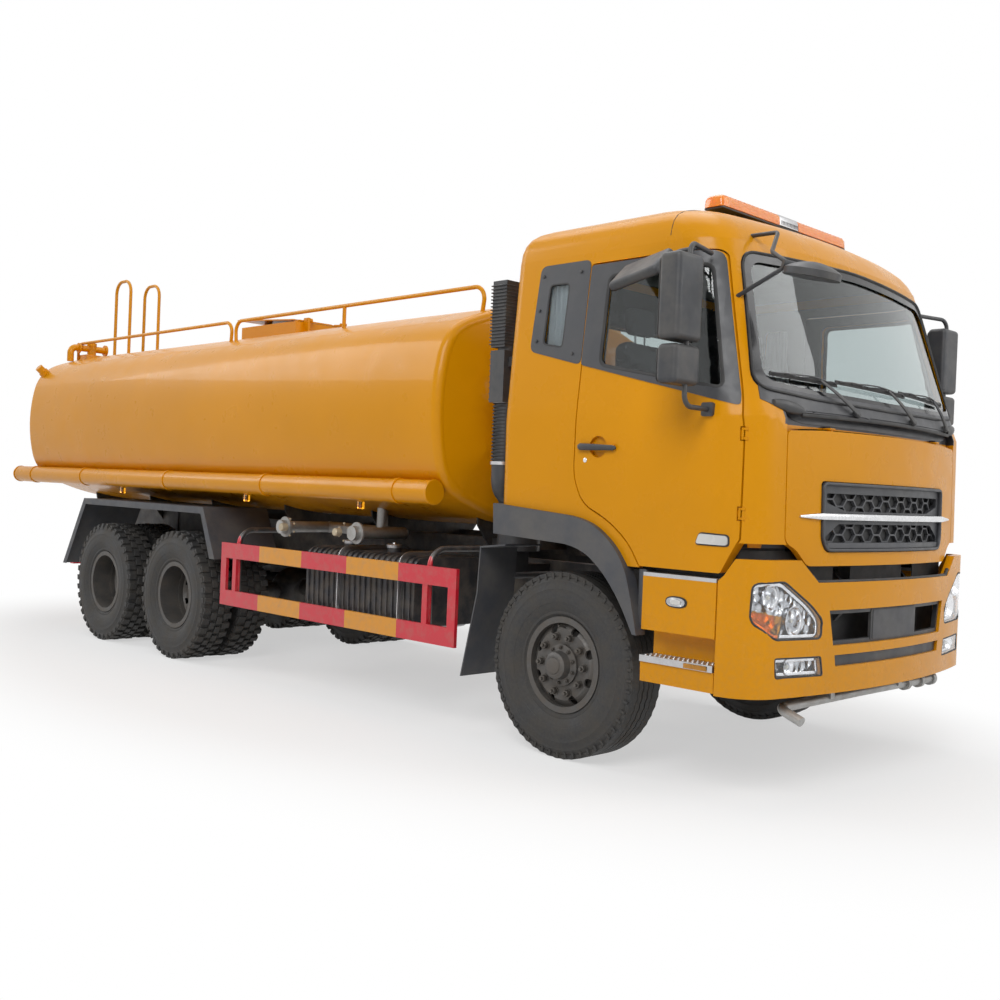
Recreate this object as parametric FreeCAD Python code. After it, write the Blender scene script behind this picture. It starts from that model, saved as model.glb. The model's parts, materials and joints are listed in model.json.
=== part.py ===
import FreeCAD, Part
import math
import os
from FreeCAD import Vector

# A 6x4 water tanker: ladder frame, four-arc tank, cab-over cab that tilts.
# Millimetres. X forward, Y to the left, Z up, tyres standing on Z = 0.
# Places along X are counted from the front axle; save() moves every piece so
# that the middle of the whole length is at X = 0.

os.makedirs("parts", exist_ok=True)

# ---------------------------------------------------------------- driving sizes
wheelbase = 4350.0          # front axle to first rear axle
tandem_spacing = 1300.0     # first to second rear axle
front_reach = 1637.5        # front axle to the foremost mirror
rear_reach = 7835.0         # front axle to the rear ends of the hose tubes
seat_gap = 0.3              # between curved faces that lie against each other
panel_gap = 8.0             # round doors and the front flap

# wheels
tyre_radius = 540.0
tyre_width = 292.0
rim_radius = 258.0          # bead seat
rim_flange = 280.0
rim_half_width = 112.0
front_tyre_y = 1008.0       # centre of a front tyre
twin_y = 932.0              # middle between the two rear twins
twin_spacing = 340.0
drum_radius = 205.0
disc_thickness = 14.0
hand_holes = 8
hand_hole_radius = 27.0
spindle_radius = 45.0
running_gap = 0.05          # shaft in its bore, on the radius

# steering
kingpin_y = 800.0
kingpin_radius = 20.0
kingpin_boss = 46.0
kingpin_half = 120.0         # kingpin centre to either end
rear_tube_radius = 78.0
rear_spring_y = 505.0
front_spring_y = 395.0
pinion_reach = 290.0        # axle centre to its pinion flange
bowl_back = 130.0
gearbox_rear_x = -940.0
arm_length = 190.0
tie_rod_drop = 148.0        # wheel centre down to the track rod
tie_rod_z = tyre_radius - tie_rod_drop
tie_pin_radius = 11.0

# ladder frame
rail_top = 1080.0
rail_bottom = 800.0
rail_outer_y = 430.0
rail_flange = 80.0
rail_wall = 10.0
rail_rear_x = -7450.0
rail_front_x = 1230.0
subframe_top = 1200.0

# tank, four arcs to a section
tank_rear_x = -7640.0
tank_front_x = -1020.0
tank_half_width = 1205.0
tank_half_height = 795.0
tank_middle_z = 2065.0
corner_arc = 380.0
corner_y = 795.0
corner_z = 253.0
head_dish = 70.0            # depth of either dished head
head_plateau = 360.0        # from the edge to the flat middle of a head
head_knuckle = 60.0
saddle_count = 6

# hose tubes along the tank's lower corners
hose_tube_radius = 80.0
hose_tube_y = 1150.0
hose_tube_z = 1507.0
hose_tube_front_x = -1140.0
hose_tube_rear_x = -rear_reach

# cab
cab_rear_x = -460.0
cab_wall = 60.0
cab_front_radius = 4850.0
cab_corner_radius = 260.0
cab_rear_corner = 90.0
cab_bottom_z = 1158.0
roof_seam_z = 2900.0
roof_top_z = 3175.0
floor_z = 1300.0
floor_thickness = 40.0
glass_depth = 10.0
glass_thickness = 6.0
tilt_x = 1380.0
tilt_z = 1050.0
tilt_y = 380.0
door_hinge_x = 1212.0
door_hinge_y = 1190.0
door_corner_sweep = 74.0    # round the hinge, what the door's inner corner passes through

# bumper and steps
bumper_front_x = 1485.0
bumper_half_width = 1245.0
bumper_bottom_z = 552.0
bumper_wall = 45.0
fender_rear_x = 668.0
fender_front_x = 1132.0

# rear bar
rear_bar_half = 700.0
rear_lamp_y = 560.0

# side guard
guard_y = 1230.0
guard_rear_x = -3590.0
guard_front_x = -810.0
guard_bottom_z = 540.0
guard_top_z = 1034.0
guard_bar = 120.0
guard_thickness = 25.0

parts_shift = (rear_reach - front_reach) / 2.0


# ---------------------------------------------------------------- small helpers
def box(x0, x1, y0, y1, z0, z1):
    return Part.makeBox(x1 - x0, y1 - y0, z1 - z0, Vector(x0, y0, z0))


def rod(start, end, radius):
    a = Vector(*start)
    b = Vector(*end)
    return Part.makeCylinder(radius, (b - a).Length, a, b - a)


def ring(start, end, outer, inner):
    return rod(start, end, outer).cut(rod(start, end, inner))


def fuse(shapes):
    whole = shapes[0]
    if len(shapes) > 1:
        whole = whole.multiFuse(shapes[1:])
    return whole.removeSplitter()


def mirrored(shape):
    return shape.mirror(Vector(0, 0, 0), Vector(0, 1, 0))


def both_sides(shape):
    return Part.makeCompound([shape, mirrored(shape)])


def flat_face(points):
    wire = Part.makePolygon([Vector(*p) for p in points + [points[0]]])
    return Part.Face(wire)


def rounded_face(points, reaches):
    """A flat outline whose corners with a reach become tangent arcs."""
    path = [Vector(*p) for p in points]
    count = len(path)
    edges = []
    ends = []
    for n in range(count):
        corner = path[n]
        reach = reaches[n]
        if not reach:
            ends.append((corner, corner, None))
            continue
        back = (path[n - 1] - corner).normalize()
        ahead = (path[(n + 1) % count] - corner).normalize()
        half = back.getAngle(ahead) / 2.0
        radius = reach * math.tan(half)
        middle = corner + (back + ahead).normalize() * (reach / math.cos(half) - radius)
        ends.append((corner + back * reach, corner + ahead * reach, middle))
    for n in range(count):
        start, end, middle = ends[n]
        if middle is not None:
            edges.append(Part.Arc(start, middle, end).toShape())
        following = ends[(n + 1) % count][0]
        if (following - end).Length > 0.01:
            edges.append(Part.LineSegment(end, following).toShape())
    return Part.Face(Part.Wire(edges))


def grown_outline(points, grow):
    """Moves each edge outwards by grow; a rounded corner keeps its centre."""
    path = []
    for p in points:
        if not path or math.dist(p[:2], path[-1][:2]) > 0.01:
            path.append(p)
    if math.dist(path[0][:2], path[-1][:2]) < 0.01:
        path.pop()
    count = len(path)
    area = sum(path[n - 1][0] * path[n][1] - path[n][0] * path[n - 1][1] for n in range(count))
    turn = 1.0 if area > 0 else -1.0
    moved = []
    for n in range(count):
        here = Vector(path[n][0], path[n][1], 0)
        into = (here - Vector(path[n - 1][0], path[n - 1][1], 0)).normalize()
        after = path[(n + 1) % count]
        out = (Vector(after[0], after[1], 0) - here).normalize()
        side_in = Vector(into.y, -into.x, 0) * turn
        side_out = Vector(out.y, -out.x, 0) * turn
        spot = here + (side_in + side_out) * (grow / (1.0 + side_in.dot(side_out)))
        reach = path[n][2] if len(path[n]) > 2 else 0.0
        if reach:
            bulge = 1.0 if into.cross(out).z * turn > 0 else -1.0
            spread = math.tan((math.pi - into.getAngle(out)) / 2.0)
            reach = max(0.0, reach + bulge * grow / spread)
        moved.append((spot.x, spot.y, reach))
    return moved


def side_prism(points, y0, y1, grow=0.0):
    """An outline of (x, z) or (x, z, corner reach), extruded from y0 to y1."""
    outline = grown_outline(points, grow)
    face = rounded_face([(x, y0, z) for x, z, reach in outline], [p[2] for p in outline])
    return face.extrude(Vector(0, y1 - y0, 0))


def front_prism(points, x0, x1, grow=0.0):
    """An outline of (y, z) or (y, z, corner reach), extruded from x0 to x1."""
    outline = grown_outline(points, grow)
    face = rounded_face([(x0, y, z) for y, z, reach in outline], [p[2] for p in outline])
    return face.extrude(Vector(x1 - x0, 0, 0))


def symmetric(points):
    """Completes an outline given for y >= 0, from low to high."""
    return points + [(-p[0],) + tuple(p[1:]) for p in reversed(points)]


def bent_tube(points, radius, bend):
    """Straight runs joined by tangent arcs."""
    path = [Vector(*p) for p in points]
    edges = []
    last = path[0]
    for before, corner, after in zip(path, path[1:], path[2:]):
        back = (before - corner).normalize()
        ahead = (after - corner).normalize()
        half = back.getAngle(ahead) / 2.0
        reach = bend / math.tan(half)
        start = corner + back * reach
        end = corner + ahead * reach
        towards = (back + ahead).normalize()
        middle = corner + towards * (bend / math.sin(half) - bend)
        edges.append(Part.LineSegment(last, start).toShape())
        edges.append(Part.Arc(start, middle, end).toShape())
        last = end
    edges.append(Part.LineSegment(last, path[-1]).toShape())
    first_run = (path[1] - path[0]).normalize()
    circle = Part.Wire(Part.makeCircle(radius, path[0], first_run))
    return Part.Wire(edges).makePipeShell([circle], True, False)


def turned_about_y(points, y_middle):
    """A closed (y, r) outline spun about the wheel's own axis, at the origin."""
    face = flat_face([(0, y + y_middle, r) for y, r in points])
    return face.revolve(Vector(0, 0, 0), Vector(0, 1, 0), 360)


def save(name, shape):
    shape.translate(Vector(parts_shift, 0, 0))
    shape.exportStep("parts/" + name + ".step")
    print(name, len(shape.Solids), "solids", round(shape.Volume / 1e9, 4), "m3")


# ---------------------------------------------------------------- wheels
def tyre():
    """One tyre round the origin; arcs for the sidewalls, square shoulders."""
    half = tyre_width / 2.0
    bead = rim_radius + seat_gap
    bead_y = rim_half_width - 12.0 - seat_gap
    crown_y = half - 26.0
    shoulder = tyre_radius - 16.0

    def at(y, r):
        return Vector(0, y, r)
    edges = [
        Part.LineSegment(at(-bead_y, bead), at(bead_y, bead)),
        Part.LineSegment(at(bead_y, bead), at(bead_y, rim_flange + 2)),
        Part.Arc(at(bead_y, rim_flange + 2), at(half, 395), at(half - 14, shoulder - 12)),
        Part.LineSegment(at(half - 14, shoulder - 12), at(crown_y, tyre_radius - 2)),
        Part.Arc(at(crown_y, tyre_radius - 2), at(0, tyre_radius), at(-crown_y, tyre_radius - 2)),
        Part.LineSegment(at(-crown_y, tyre_radius - 2), at(14 - half, shoulder - 12)),
        Part.Arc(at(14 - half, shoulder - 12), at(-half, 395), at(-bead_y, rim_flange + 2)),
        Part.LineSegment(at(-bead_y, rim_flange + 2), at(-bead_y, bead)),
    ]
    face = Part.Face(Part.Wire([e.toShape() for e in edges]))
    return face.revolve(Vector(0, 0, 0), Vector(0, 1, 0), 360)


def barrel():
    """The rim's drop-centre barrel with its two flanges."""
    w = rim_half_width
    outline = [
        (-w, rim_radius - 14), (-w, rim_flange), (12 - w, rim_flange), (12 - w, rim_radius),
        (w - 12, rim_radius), (w - 12, rim_flange), (w, rim_flange), (w, rim_radius - 14),
    ]
    return turned_about_y(outline, 0)


def hand_hole_cuts(y0, y1, pitch_radius):
    cuts = []
    for n in range(hand_holes):
        angle = 2 * math.pi * (n + 0.5) / hand_holes
        x = pitch_radius * math.sin(angle)
        z = pitch_radius * math.cos(angle)
        cuts.append(rod((x, y0, z), (x, y1, z), hand_hole_radius))
    return cuts


def front_rim():
    """Right front: convex disc, hub and drum. Outward is -Y."""
    t = disc_thickness
    edge = rim_radius - 13
    disc = turned_about_y([
        (-70, edge), (-100, 205), (-100, 118), (-100 + t, 118), (-100 + t, 200),
        (-70 + t, edge)], 0)
    disc = disc.cut(Part.makeCompound(hand_hole_cuts(-140, 0, 212)))
    hub = turned_about_y([
        (-182, 0), (-182, 58), (-172, 76), (-128, 84), (-118, 120), (-100 + t, 120),
        (-100 + t, 150), (-60, 150), (-60, drum_radius), (70, drum_radius),
        (70, drum_radius - 14), (-44, drum_radius - 14), (-44, 80), (58, 80),
        (58, spindle_radius + running_gap), (-120, spindle_radius + running_gap), (-120, 0)], 0)
    return fuse([barrel(), disc, hub])


def twin_rims():
    """Right rear pair: two dished rims back to back, hub cap and drum."""
    t = disc_thickness
    half = twin_spacing / 2.0
    edge = rim_radius - 13
    outer = barrel()
    outer.translate(Vector(0, -half, 0))
    inner = barrel()
    inner.translate(Vector(0, half, 0))
    # (y, r) of the disc's dish, from the barrel's inner edge to the hub face
    dish = [(-110, edge), (-70, edge), (-32, 205), (0, 190), (0, 100), (-t, 100),
            (-t, 184), (-38, 196), (-72, edge - 14), (-110, edge - 14)]
    outer_disc = turned_about_y(dish, 0)
    inner_disc = turned_about_y([(-y, r) for y, r in dish], 0)
    holes = Part.makeCompound(hand_hole_cuts(-60, 60, 215))
    hub = turned_about_y([
        (-128, 0), (-128, 62), (-118, 78), (-60, 92), (-52, 130), (-t, 130), (t, 130),
        (60, 140), (60, drum_radius), (250, drum_radius), (250, drum_radius - 14),
        (80, drum_radius - 14), (80, 60 + running_gap), (-60, 60 + running_gap), (-60, 0)], 0)
    return fuse([outer, inner, outer_disc.cut(holes), inner_disc.cut(holes), hub])


def place_wheels():
    """A wheel's (name, x, y, tyre places, rim) for each side and axle."""
    rears = [("first", -wheelbase), ("second", -wheelbase - tandem_spacing)]
    one_tyre = tyre()
    single = front_rim()
    pair = twin_rims()
    half = twin_spacing / 2.0
    wheels = [("front", 0.0, front_tyre_y, [0.0], single)]
    for name, x in rears:
        wheels.append((name + "_rear", x, twin_y, [-half, half], pair))
    for name, x, y, offsets, rim in wheels:
        tyres = []
        for offset in offsets:
            copy = one_tyre.copy()
            copy.translate(Vector(x, -y + offset, tyre_radius))
            tyres.append(copy)
        rubber = Part.makeCompound(tyres)
        metal = rim.copy()
        metal.translate(Vector(x, -y, tyre_radius))
        tyre_word = "_tyre_" if len(offsets) == 1 else "_tyres_"
        rim_word = "_rim_" if len(offsets) == 1 else "_rims_"
        left_rubber = mirrored(rubber)
        left_metal = mirrored(metal)
        save(name + tyre_word + "right", rubber)
        save(name + rim_word + "right", metal)
        save(name + tyre_word + "left", left_rubber)
        save(name + rim_word + "left", left_metal)


# ---------------------------------------------------------------- axles and steering
def front_axle():
    """Dropped beam with a bored boss for each kingpin."""
    boss_low = tyre_radius - 75
    boss_high = tyre_radius + 75
    beam = front_prism(symmetric([
        (0, 400), (470, 400), (640, 470), (kingpin_y, 480), (kingpin_y, 600), (620, 590),
        (470, 500), (0, 500)]), -48, 48)
    beam = beam.cut(both_sides(rod((0, kingpin_y, 300), (0, kingpin_y, 800), kingpin_boss)))
    bosses = []
    for side in (-1, 1):
        y = side * kingpin_y
        bosses.append(ring((0, y, boss_low), (0, y, boss_high), kingpin_boss,
                           kingpin_radius + running_gap))
    return fuse([beam] + bosses)


def knuckle():
    """Right: two ears on the kingpin, the spindle and the arm to the tie rod."""
    y = -kingpin_y
    low = tyre_radius - kingpin_half
    high = tyre_radius + kingpin_half
    ears = []
    for z0, z1 in ((low, tyre_radius - 80), (tyre_radius + 80, high)):
        ears.append(rod((0, y, z0), (0, y, z1), kingpin_boss))
        ears.append(box(-42, 42, y - 88, y - 2, z0, z1))
    pin = rod((0, y, low), (0, y, high), kingpin_radius)
    plate = box(-60, 60, y - 88, y - 52, low, high)
    spindle = rod((0, y - 60, tyre_radius), (0, -front_tyre_y - 100, tyre_radius), spindle_radius)
    arm = box(-arm_length, 0, y - 16, y + 16, low, low + 25)
    arm_end = ring((-arm_length, y, low), (-arm_length, y, low + 25),
                   26, tie_pin_radius + running_gap)
    hole = rod((-arm_length, y, 300), (-arm_length, y, 600), tie_pin_radius + running_gap)
    return fuse(ears + [pin, plate, spindle, arm.cut(hole), arm_end])


def tie_rod():
    """Joins the two steering arms behind the axle, below them."""
    y = kingpin_y
    x = -arm_length
    bar = rod((x, -y, tie_rod_z), (x, y, tie_rod_z), 16)
    arm_low = tyre_radius - kingpin_half
    ends = []
    for side in (-1, 1):
        ends.append(rod((x, side * y, tie_rod_z - 14), (x, side * y, arm_low - 5), 24))
        ends.append(rod((x, side * y, tie_rod_z), (x, side * y, arm_low + 28), tie_pin_radius))
    return fuse([bar] + ends)


def rear_axle(x):
    """Housing with its bowl, and a spindle at each end."""
    z = tyre_radius
    tube = rod((x, -600, z), (x, 600, z), rear_tube_radius)
    ends = rod((x, -twin_y - 50, z), (x, twin_y + 50, z), 60)
    ball = Part.makeSphere(215, Vector(x, 0, z))
    bowl = ball.common(box(x - bowl_back, x + 175, -300, 300, 0, 1000))
    nose = rod((x + 100, 0, z + 40), (x + pinion_reach, 0, z + 40), 70)
    seats_for_springs = []
    for side in (-1, 1):
        y = side * rear_spring_y
        seats_for_springs.append(box(x - 40, x + 40, y - 45, y + 45, z, z + rear_tube_radius))
    return fuse([tube, ends, bowl, nose] + seats_for_springs)


def leaf_pack(x, y, z, length, leaves, thickness, lift, width):
    """Leaves of falling length, one on the other, their ends raised by lift."""
    pieces = []
    for n in range(leaves):
        half = length / 2.0 * (1 - 0.16 * n)
        rise = lift * (half / (length / 2.0)) ** 2
        low = z - n * thickness
        def at(px, pz):
            return Vector(px, y - width / 2.0, pz)
        lower = Part.Arc(at(x - half, low + rise), at(x, low), at(x + half, low + rise)).toShape()
        upper = Part.Arc(at(x + half, low + rise + thickness), at(x, low + thickness),
                         at(x - half, low + rise + thickness)).toShape()
        right = Part.LineSegment(at(x + half, low + rise), at(x + half, low + rise + thickness))
        left = Part.LineSegment(at(x - half, low + rise + thickness), at(x - half, low + rise))
        wire = Part.Wire([lower, right.toShape(), upper, left.toShape()])
        pieces.append(Part.Face(wire).extrude(Vector(0, width, 0)))
    return fuse(pieces)


def shaft_between(front, rear):
    """A propeller shaft with an end flange square to X at either end."""
    tube = rod((front[0] - 10, front[1], front[2]), (rear[0] + 10, rear[1], rear[2]), 45)
    flanges = [rod((front[0] - seat_gap - 22, 0, front[2]), (front[0] - seat_gap, 0, front[2]), 62),
               rod((rear[0] + seat_gap, 0, rear[2]), (rear[0] + seat_gap + 22, 0, rear[2]), 62)]
    tube = tube.common(box(rear[0] + 5, front[0] - 5, -100, 100, 0, 2000))
    return fuse([tube] + flanges)


def suspension():
    """Front and rear springs with hangers, and the propeller shafts."""
    pieces = []
    beam_top = 500.0
    leaf = 22.0
    middle = -wheelbase - tandem_spacing / 2.0
    half_rear = tandem_spacing / 2.0 + 30
    seat_top = tyre_radius + rear_tube_radius
    rear_low = 690.0
    for side in (-1, 1):
        y = side * front_spring_y
        low = beam_top + seat_gap + 2 * leaf
        front = leaf_pack(0, y, low, 1500, 3, leaf, 150, 75)
        clamp = box(-60, 60, y - 45, y + 45, beam_top + seat_gap, low + leaf + 20)
        hangers = []
        for x in (-740, 740):
            hangers.append(box(x - 35, x + 35, y - 34, y + 34, 680, rail_bottom - seat_gap))
        pieces.append(fuse([front, clamp] + hangers))
        y = side * rear_spring_y
        lift = seat_top + seat_gap - rear_low
        rear = leaf_pack(middle, y, rear_low, 2 * half_rear, 3, 26, lift, 90)
        saddle = box(middle - 80, middle + 80, y - 50, y + 50, 560, 730)
        y0, y1 = sorted((side * (rail_outer_y + 0.1), side * (rear_spring_y - 50)))
        bracket = box(middle - 120, middle + 120, y0, y1, 520, rail_top - 20)
        pieces.append(fuse([rear, saddle, bracket]))
    high = tyre_radius + 40
    pieces.append(shaft_between((gearbox_rear_x, 0, 785), (-wheelbase + pinion_reach, 0, high)))
    second = -wheelbase - tandem_spacing
    pieces.append(shaft_between((-wheelbase - bowl_back, 0, tyre_radius),
                                (second + pinion_reach, 0, high)))
    return Part.makeCompound(pieces)


# ---------------------------------------------------------------- frame
def chassis_frame():
    """Two channels and their cross-members."""
    outer = rail_outer_y
    w = rail_wall
    channel = front_prism([
        (outer, rail_bottom), (outer, rail_top), (outer - rail_flange, rail_top),
        (outer - rail_flange, rail_top - w), (outer - w, rail_top - w),
        (outer - w, rail_bottom + w), (outer - rail_flange, rail_bottom + w),
        (outer - rail_flange, rail_bottom)], rail_rear_x, rail_front_x)
    inside = outer - w
    places = [rail_front_x - 60, -1010, -1830, -2650, -3470, -4250, -5000, -5750, -6560, -7370]
    high = rail_top - 60
    low = rail_bottom + 40
    # arm that carries the cab's tilt pin at the front; the foremost member ends against it
    y0 = tilt_y + 12
    y1 = tilt_y + 46
    members = []
    for x in places:
        reach = y0 if x > rail_front_x - 150 else inside
        members.append(fuse([box(x - 40, x + 40, -reach, reach, low, low + 10),
                             box(x - 40, x + 40, -reach, reach, high - 10, high),
                             box(x - 5, x + 5, -reach, reach, low, high)]))
    arm = side_prism([(rail_front_x - 150, 860), (rail_front_x - 150, rail_top),
                      (tilt_x - 40, tilt_z + 40), (tilt_x + 40, tilt_z + 40),
                      (tilt_x + 40, tilt_z - 40), (rail_front_x + 60, 860)], y0, y1)
    arm = arm.cut(rod((tilt_x, y0 - 1, tilt_z), (tilt_x, y1 + 1, tilt_z), 18 + running_gap))
    rail = fuse([channel, arm])
    return Part.makeCompound([rail, mirrored(rail)] + members)


def engine_block():
    """Engine and gearbox as one plain block, and the radiator ahead of it."""
    engine = box(-420, 940, -300, 300, 700, 1500)
    gearbox = box(gearbox_rear_x, -420, -220, 220, 690, 1000)
    core = box(1030, 1110, -330, 330, 640, 1420)
    mounts = [box(1032, 1070, -419.7, -320, 850, 1000), box(1032, 1070, 320, 419.7, 850, 1000)]
    return Part.makeCompound([fuse([engine, gearbox]), fuse([core] + mounts)])


# ---------------------------------------------------------------- tank
def tank_face(x, gap):
    """The section at x, grown by gap: four corner arcs, flat sides and crown."""
    w = tank_half_width + gap
    h = tank_half_height + gap
    r = corner_arc + gap
    k = r / math.sqrt(2.0)

    def meet(cy, cz, big_centre_y, big_centre_z):
        # where a corner arc runs into the large arc centred on an axis
        dy = cy - big_centre_y
        dz = cz - big_centre_z
        d = math.hypot(dy, dz)
        return cy + dy / d * r, cz + dz / d * r
    # centres of the large arcs, from the corner's centre and the tangent condition
    side_reach = w - r
    side_y = (corner_y ** 2 + corner_z ** 2 - side_reach ** 2) / (2 * (corner_y - side_reach))
    top_reach = h - r
    top_z = (corner_y ** 2 + corner_z ** 2 - top_reach ** 2) / (2 * (corner_z - top_reach))
    sy, sz = meet(corner_y, corner_z, side_y, 0)
    ty, tz = meet(corner_y, corner_z, 0, top_z)

    def at(y, z):
        return Vector(x, y, tank_middle_z + z)
    corner = at(corner_y + k, corner_z + k)
    edges = [Part.Arc(at(sy, -sz), at(w, 0), at(sy, sz)),
             Part.Arc(at(sy, sz), corner, at(ty, tz)),
             Part.Arc(at(ty, tz), at(0, h), at(-ty, tz)),
             Part.Arc(at(-ty, tz), at(-corner_y - k, corner_z + k), at(-sy, sz)),
             Part.Arc(at(-sy, sz), at(-w, 0), at(-sy, -sz)),
             Part.Arc(at(-sy, -sz), at(-corner_y - k, -corner_z - k), at(-ty, -tz)),
             Part.Arc(at(-ty, -tz), at(0, -h), at(ty, -tz)),
             Part.Arc(at(ty, -tz), at(corner_y + k, -corner_z - k), at(sy, -sz))]
    return Part.Face(Part.Wire([e.toShape() for e in edges]))


def tank_bar(x0, x1, gap):
    return tank_face(x0, gap).extrude(Vector(x1 - x0, 0, 0))


manhole_rear_x = -4930.0
manhole_front_x = -4050.0
manhole_half_width = 300.0
manhole_top_z = 2960.0
manhole_wall = 12.0
manhole_pin_x = manhole_front_x + 40
manhole_pin_z = 2975.0
manhole_pin_radius = 10.0


def tank_solid(gap):
    """The body with rounded, dished heads, grown by gap, without its well."""
    rear = tank_rear_x + head_dish - gap
    front = tank_front_x - head_dish + gap
    body = tank_bar(rear, front, gap)
    rims = []
    for edge in body.Edges:
        if edge.BoundBox.XLength < 1:
            rims.append(edge)
    body = body.makeFillet(head_knuckle, rims)
    dishes = []
    for flat, tip in ((rear, tank_rear_x - gap), (front, tank_front_x + gap)):
        wide = tank_face(flat, -head_knuckle - 5).OuterWire
        narrow = tank_face(tip, -head_plateau).OuterWire
        dishes.append(Part.makeLoft([wide, narrow], True, True))
    return fuse([body] + dishes)


def manhole_collar():
    """Collar on the crown with hinge ears and the latch post."""
    w = manhole_half_width
    wall = manhole_wall
    block = box(manhole_rear_x, manhole_front_x, -w, w, 2700, manhole_top_z)
    inner = box(manhole_rear_x + wall, manhole_front_x - wall, wall - w, w - wall, 2600,
                manhole_top_z + 1)
    pieces = [block.cut(inner)]
    for side in (-1, 1):
        y = side * 200
        ear = box(manhole_front_x - 5, manhole_front_x + 62, y - 12, y + 12, 2700, 2995)
        hole = rod((manhole_pin_x, y - 20, manhole_pin_z), (manhole_pin_x, y + 20, manhole_pin_z),
                   manhole_pin_radius + running_gap)
        pieces.append(ear.cut(hole))
    pieces.append(box(manhole_rear_x - 45, manhole_rear_x, -30, 30, 2700, manhole_top_z + 62))
    over = tank_bar(manhole_rear_x - 100, manhole_front_x + 100, seat_gap)
    return fuse(pieces).cut(over)


def tank_shell():
    """The closed body with its manhole well, and the collar seated on it."""
    well = box(manhole_rear_x + manhole_wall, manhole_front_x - manhole_wall,
               manhole_wall - manhole_half_width, manhole_half_width - manhole_wall, 2450, 3000)
    return Part.makeCompound([tank_solid(0).cut(well), manhole_collar()])


def manhole_lid():
    """Plate hinged at its front edge, resting on the rear latch post."""
    length = manhole_front_x - manhole_rear_x
    pin_x = manhole_pin_x
    pin_z = manhole_pin_z
    rise = math.degrees(math.atan2(62 + seat_gap, length + 60))
    plate = box(manhole_rear_x - 60, manhole_front_x - 14, -manhole_half_width - 15,
                manhole_half_width + 15, manhole_top_z + 2, manhole_top_z + 12)
    skirt_dome = box(manhole_rear_x + 120, manhole_front_x - 120, -180, 180,
                     manhole_top_z + 12, manhole_top_z + 26)
    arms = []
    for side in (-1, 1):
        y = side * 170
        arms.append(box(manhole_front_x - 60, pin_x, y - 12, y + 12,
                        manhole_top_z + 3, manhole_top_z + 12 + 10))
        arms.append(rod((pin_x, y - 12, pin_z), (pin_x, y + 12, pin_z), 20))
        arms.append(rod((pin_x, side * 150, pin_z), (pin_x, side * 215, pin_z),
                        manhole_pin_radius))
    lid = fuse([plate, skirt_dome] + arms)
    lid.rotate(Vector(pin_x, 0, pin_z), Vector(0, 1, 0), rise)
    return lid


def tank_subframe():
    """Two bearers on the rails and the saddles shaped to the tank's belly."""
    pieces = []
    for side in (-1, 1):
        y = side * (rail_outer_y - 40)
        pieces.append(box(-7420, -1180, y - 40, y + 40, rail_top, subframe_top))
    bearers = Part.makeCompound(pieces)
    belly = tank_bar(tank_rear_x - 10, tank_front_x + 10, seat_gap)
    for n in range(saddle_count):
        x = -7250 + n * (7250 - 1330) / (saddle_count - 1)
        plate = front_prism(symmetric([(0, rail_top + 30), (430, rail_top + 30),
                                       (570, 1285), (600, 1480), (0, 1480)]), x - 8, x + 8)
        pieces.append(plate.cut(belly).cut(bearers))
    return Part.makeCompound(pieces)


def hose_tubes():
    """A tube along each lower corner, capped behind, with its straps."""
    y = -hose_tube_y
    z = hose_tube_z
    r = hose_tube_radius
    tube = rod((hose_tube_rear_x + 60, y, z), (hose_tube_front_x, y, z), r)
    cap = rod((hose_tube_rear_x, y, z), (hose_tube_rear_x + 60, y, z), r)
    cap = cap.makeFillet(40, [e for e in cap.Edges if e.BoundBox.XMax < hose_tube_rear_x + 1])
    pieces = [tube, cap]
    belly = tank_bar(tank_rear_x - 10, tank_front_x + 10, seat_gap)
    for x in (-7420, -6250, -4620, -3100, -1500):
        strap = ring((x - 20, y, z), (x + 20, y, z), r + 7, r - 5)
        lug = box(x - 20, x + 20, y + 20, y + 200, z - 30, z + 60).cut(belly)
        lug = lug.cut(rod((x - 30, y, z), (x + 30, y, z), r - 5))
        pieces.append(fuse([strap, lug]))
    right = fuse(pieces)
    return Part.makeCompound([right, mirrored(right)])


def tank_top_z(y):
    """Height of the tank's crown at y, and the seat gap above it."""
    top_reach = tank_half_height - corner_arc
    top_z = (corner_y ** 2 + corner_z ** 2 - top_reach ** 2) / (2 * (corner_z - top_reach))
    radius = tank_half_height - top_z
    return tank_middle_z + top_z + math.sqrt(radius ** 2 - y ** 2) + seat_gap


rail_y = 720.0
rail_height_z = 2920.0


def top_rails():
    """Two bent hand rails on each side of the tank's crown."""
    y = -rail_y
    foot = tank_top_z(rail_y) - 40
    z = rail_height_z
    r = 15.0
    forward = bent_tube([(-4330, y, foot), (-4350, y, z), (-1180, y, z), (-1215, y, foot)], r, 90)
    post = rod((-2770, y, foot), (-2770, y, z), r)
    behind = bent_tube([(-7500, y, foot), (-7500, y, z), (-4400, y, z), (-4420, y, foot)], r, 90)
    crown = tank_bar(tank_rear_x, tank_front_x, seat_gap)
    right = Part.makeCompound([fuse([forward, post]).cut(crown), behind.cut(crown)])
    return Part.makeCompound([right, mirrored(right)])


def rear_ladder():
    """Stringers up the rear head that bend over the crown, with rungs."""
    half = 170.0
    x = -7800.0
    foot = tank_top_z(half) - 40
    pieces = []
    for side in (-1, 1):
        y = side * half
        pieces.append(bent_tube([(x, y, 1180), (x, y, 3690), (-7460, y, 3690), (-7460, y, foot)],
                                17, 130))
        for z in (1700, 2500):
            pieces.append(rod((x, y, z), (tank_rear_x + head_dish, y, z), 12))
    for n in range(6):
        z = 1270 + n * 290
        pieces.append(rod((x, -half, z), (x, half, z), 12))
    return fuse(pieces).cut(tank_solid(seat_gap))


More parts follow.
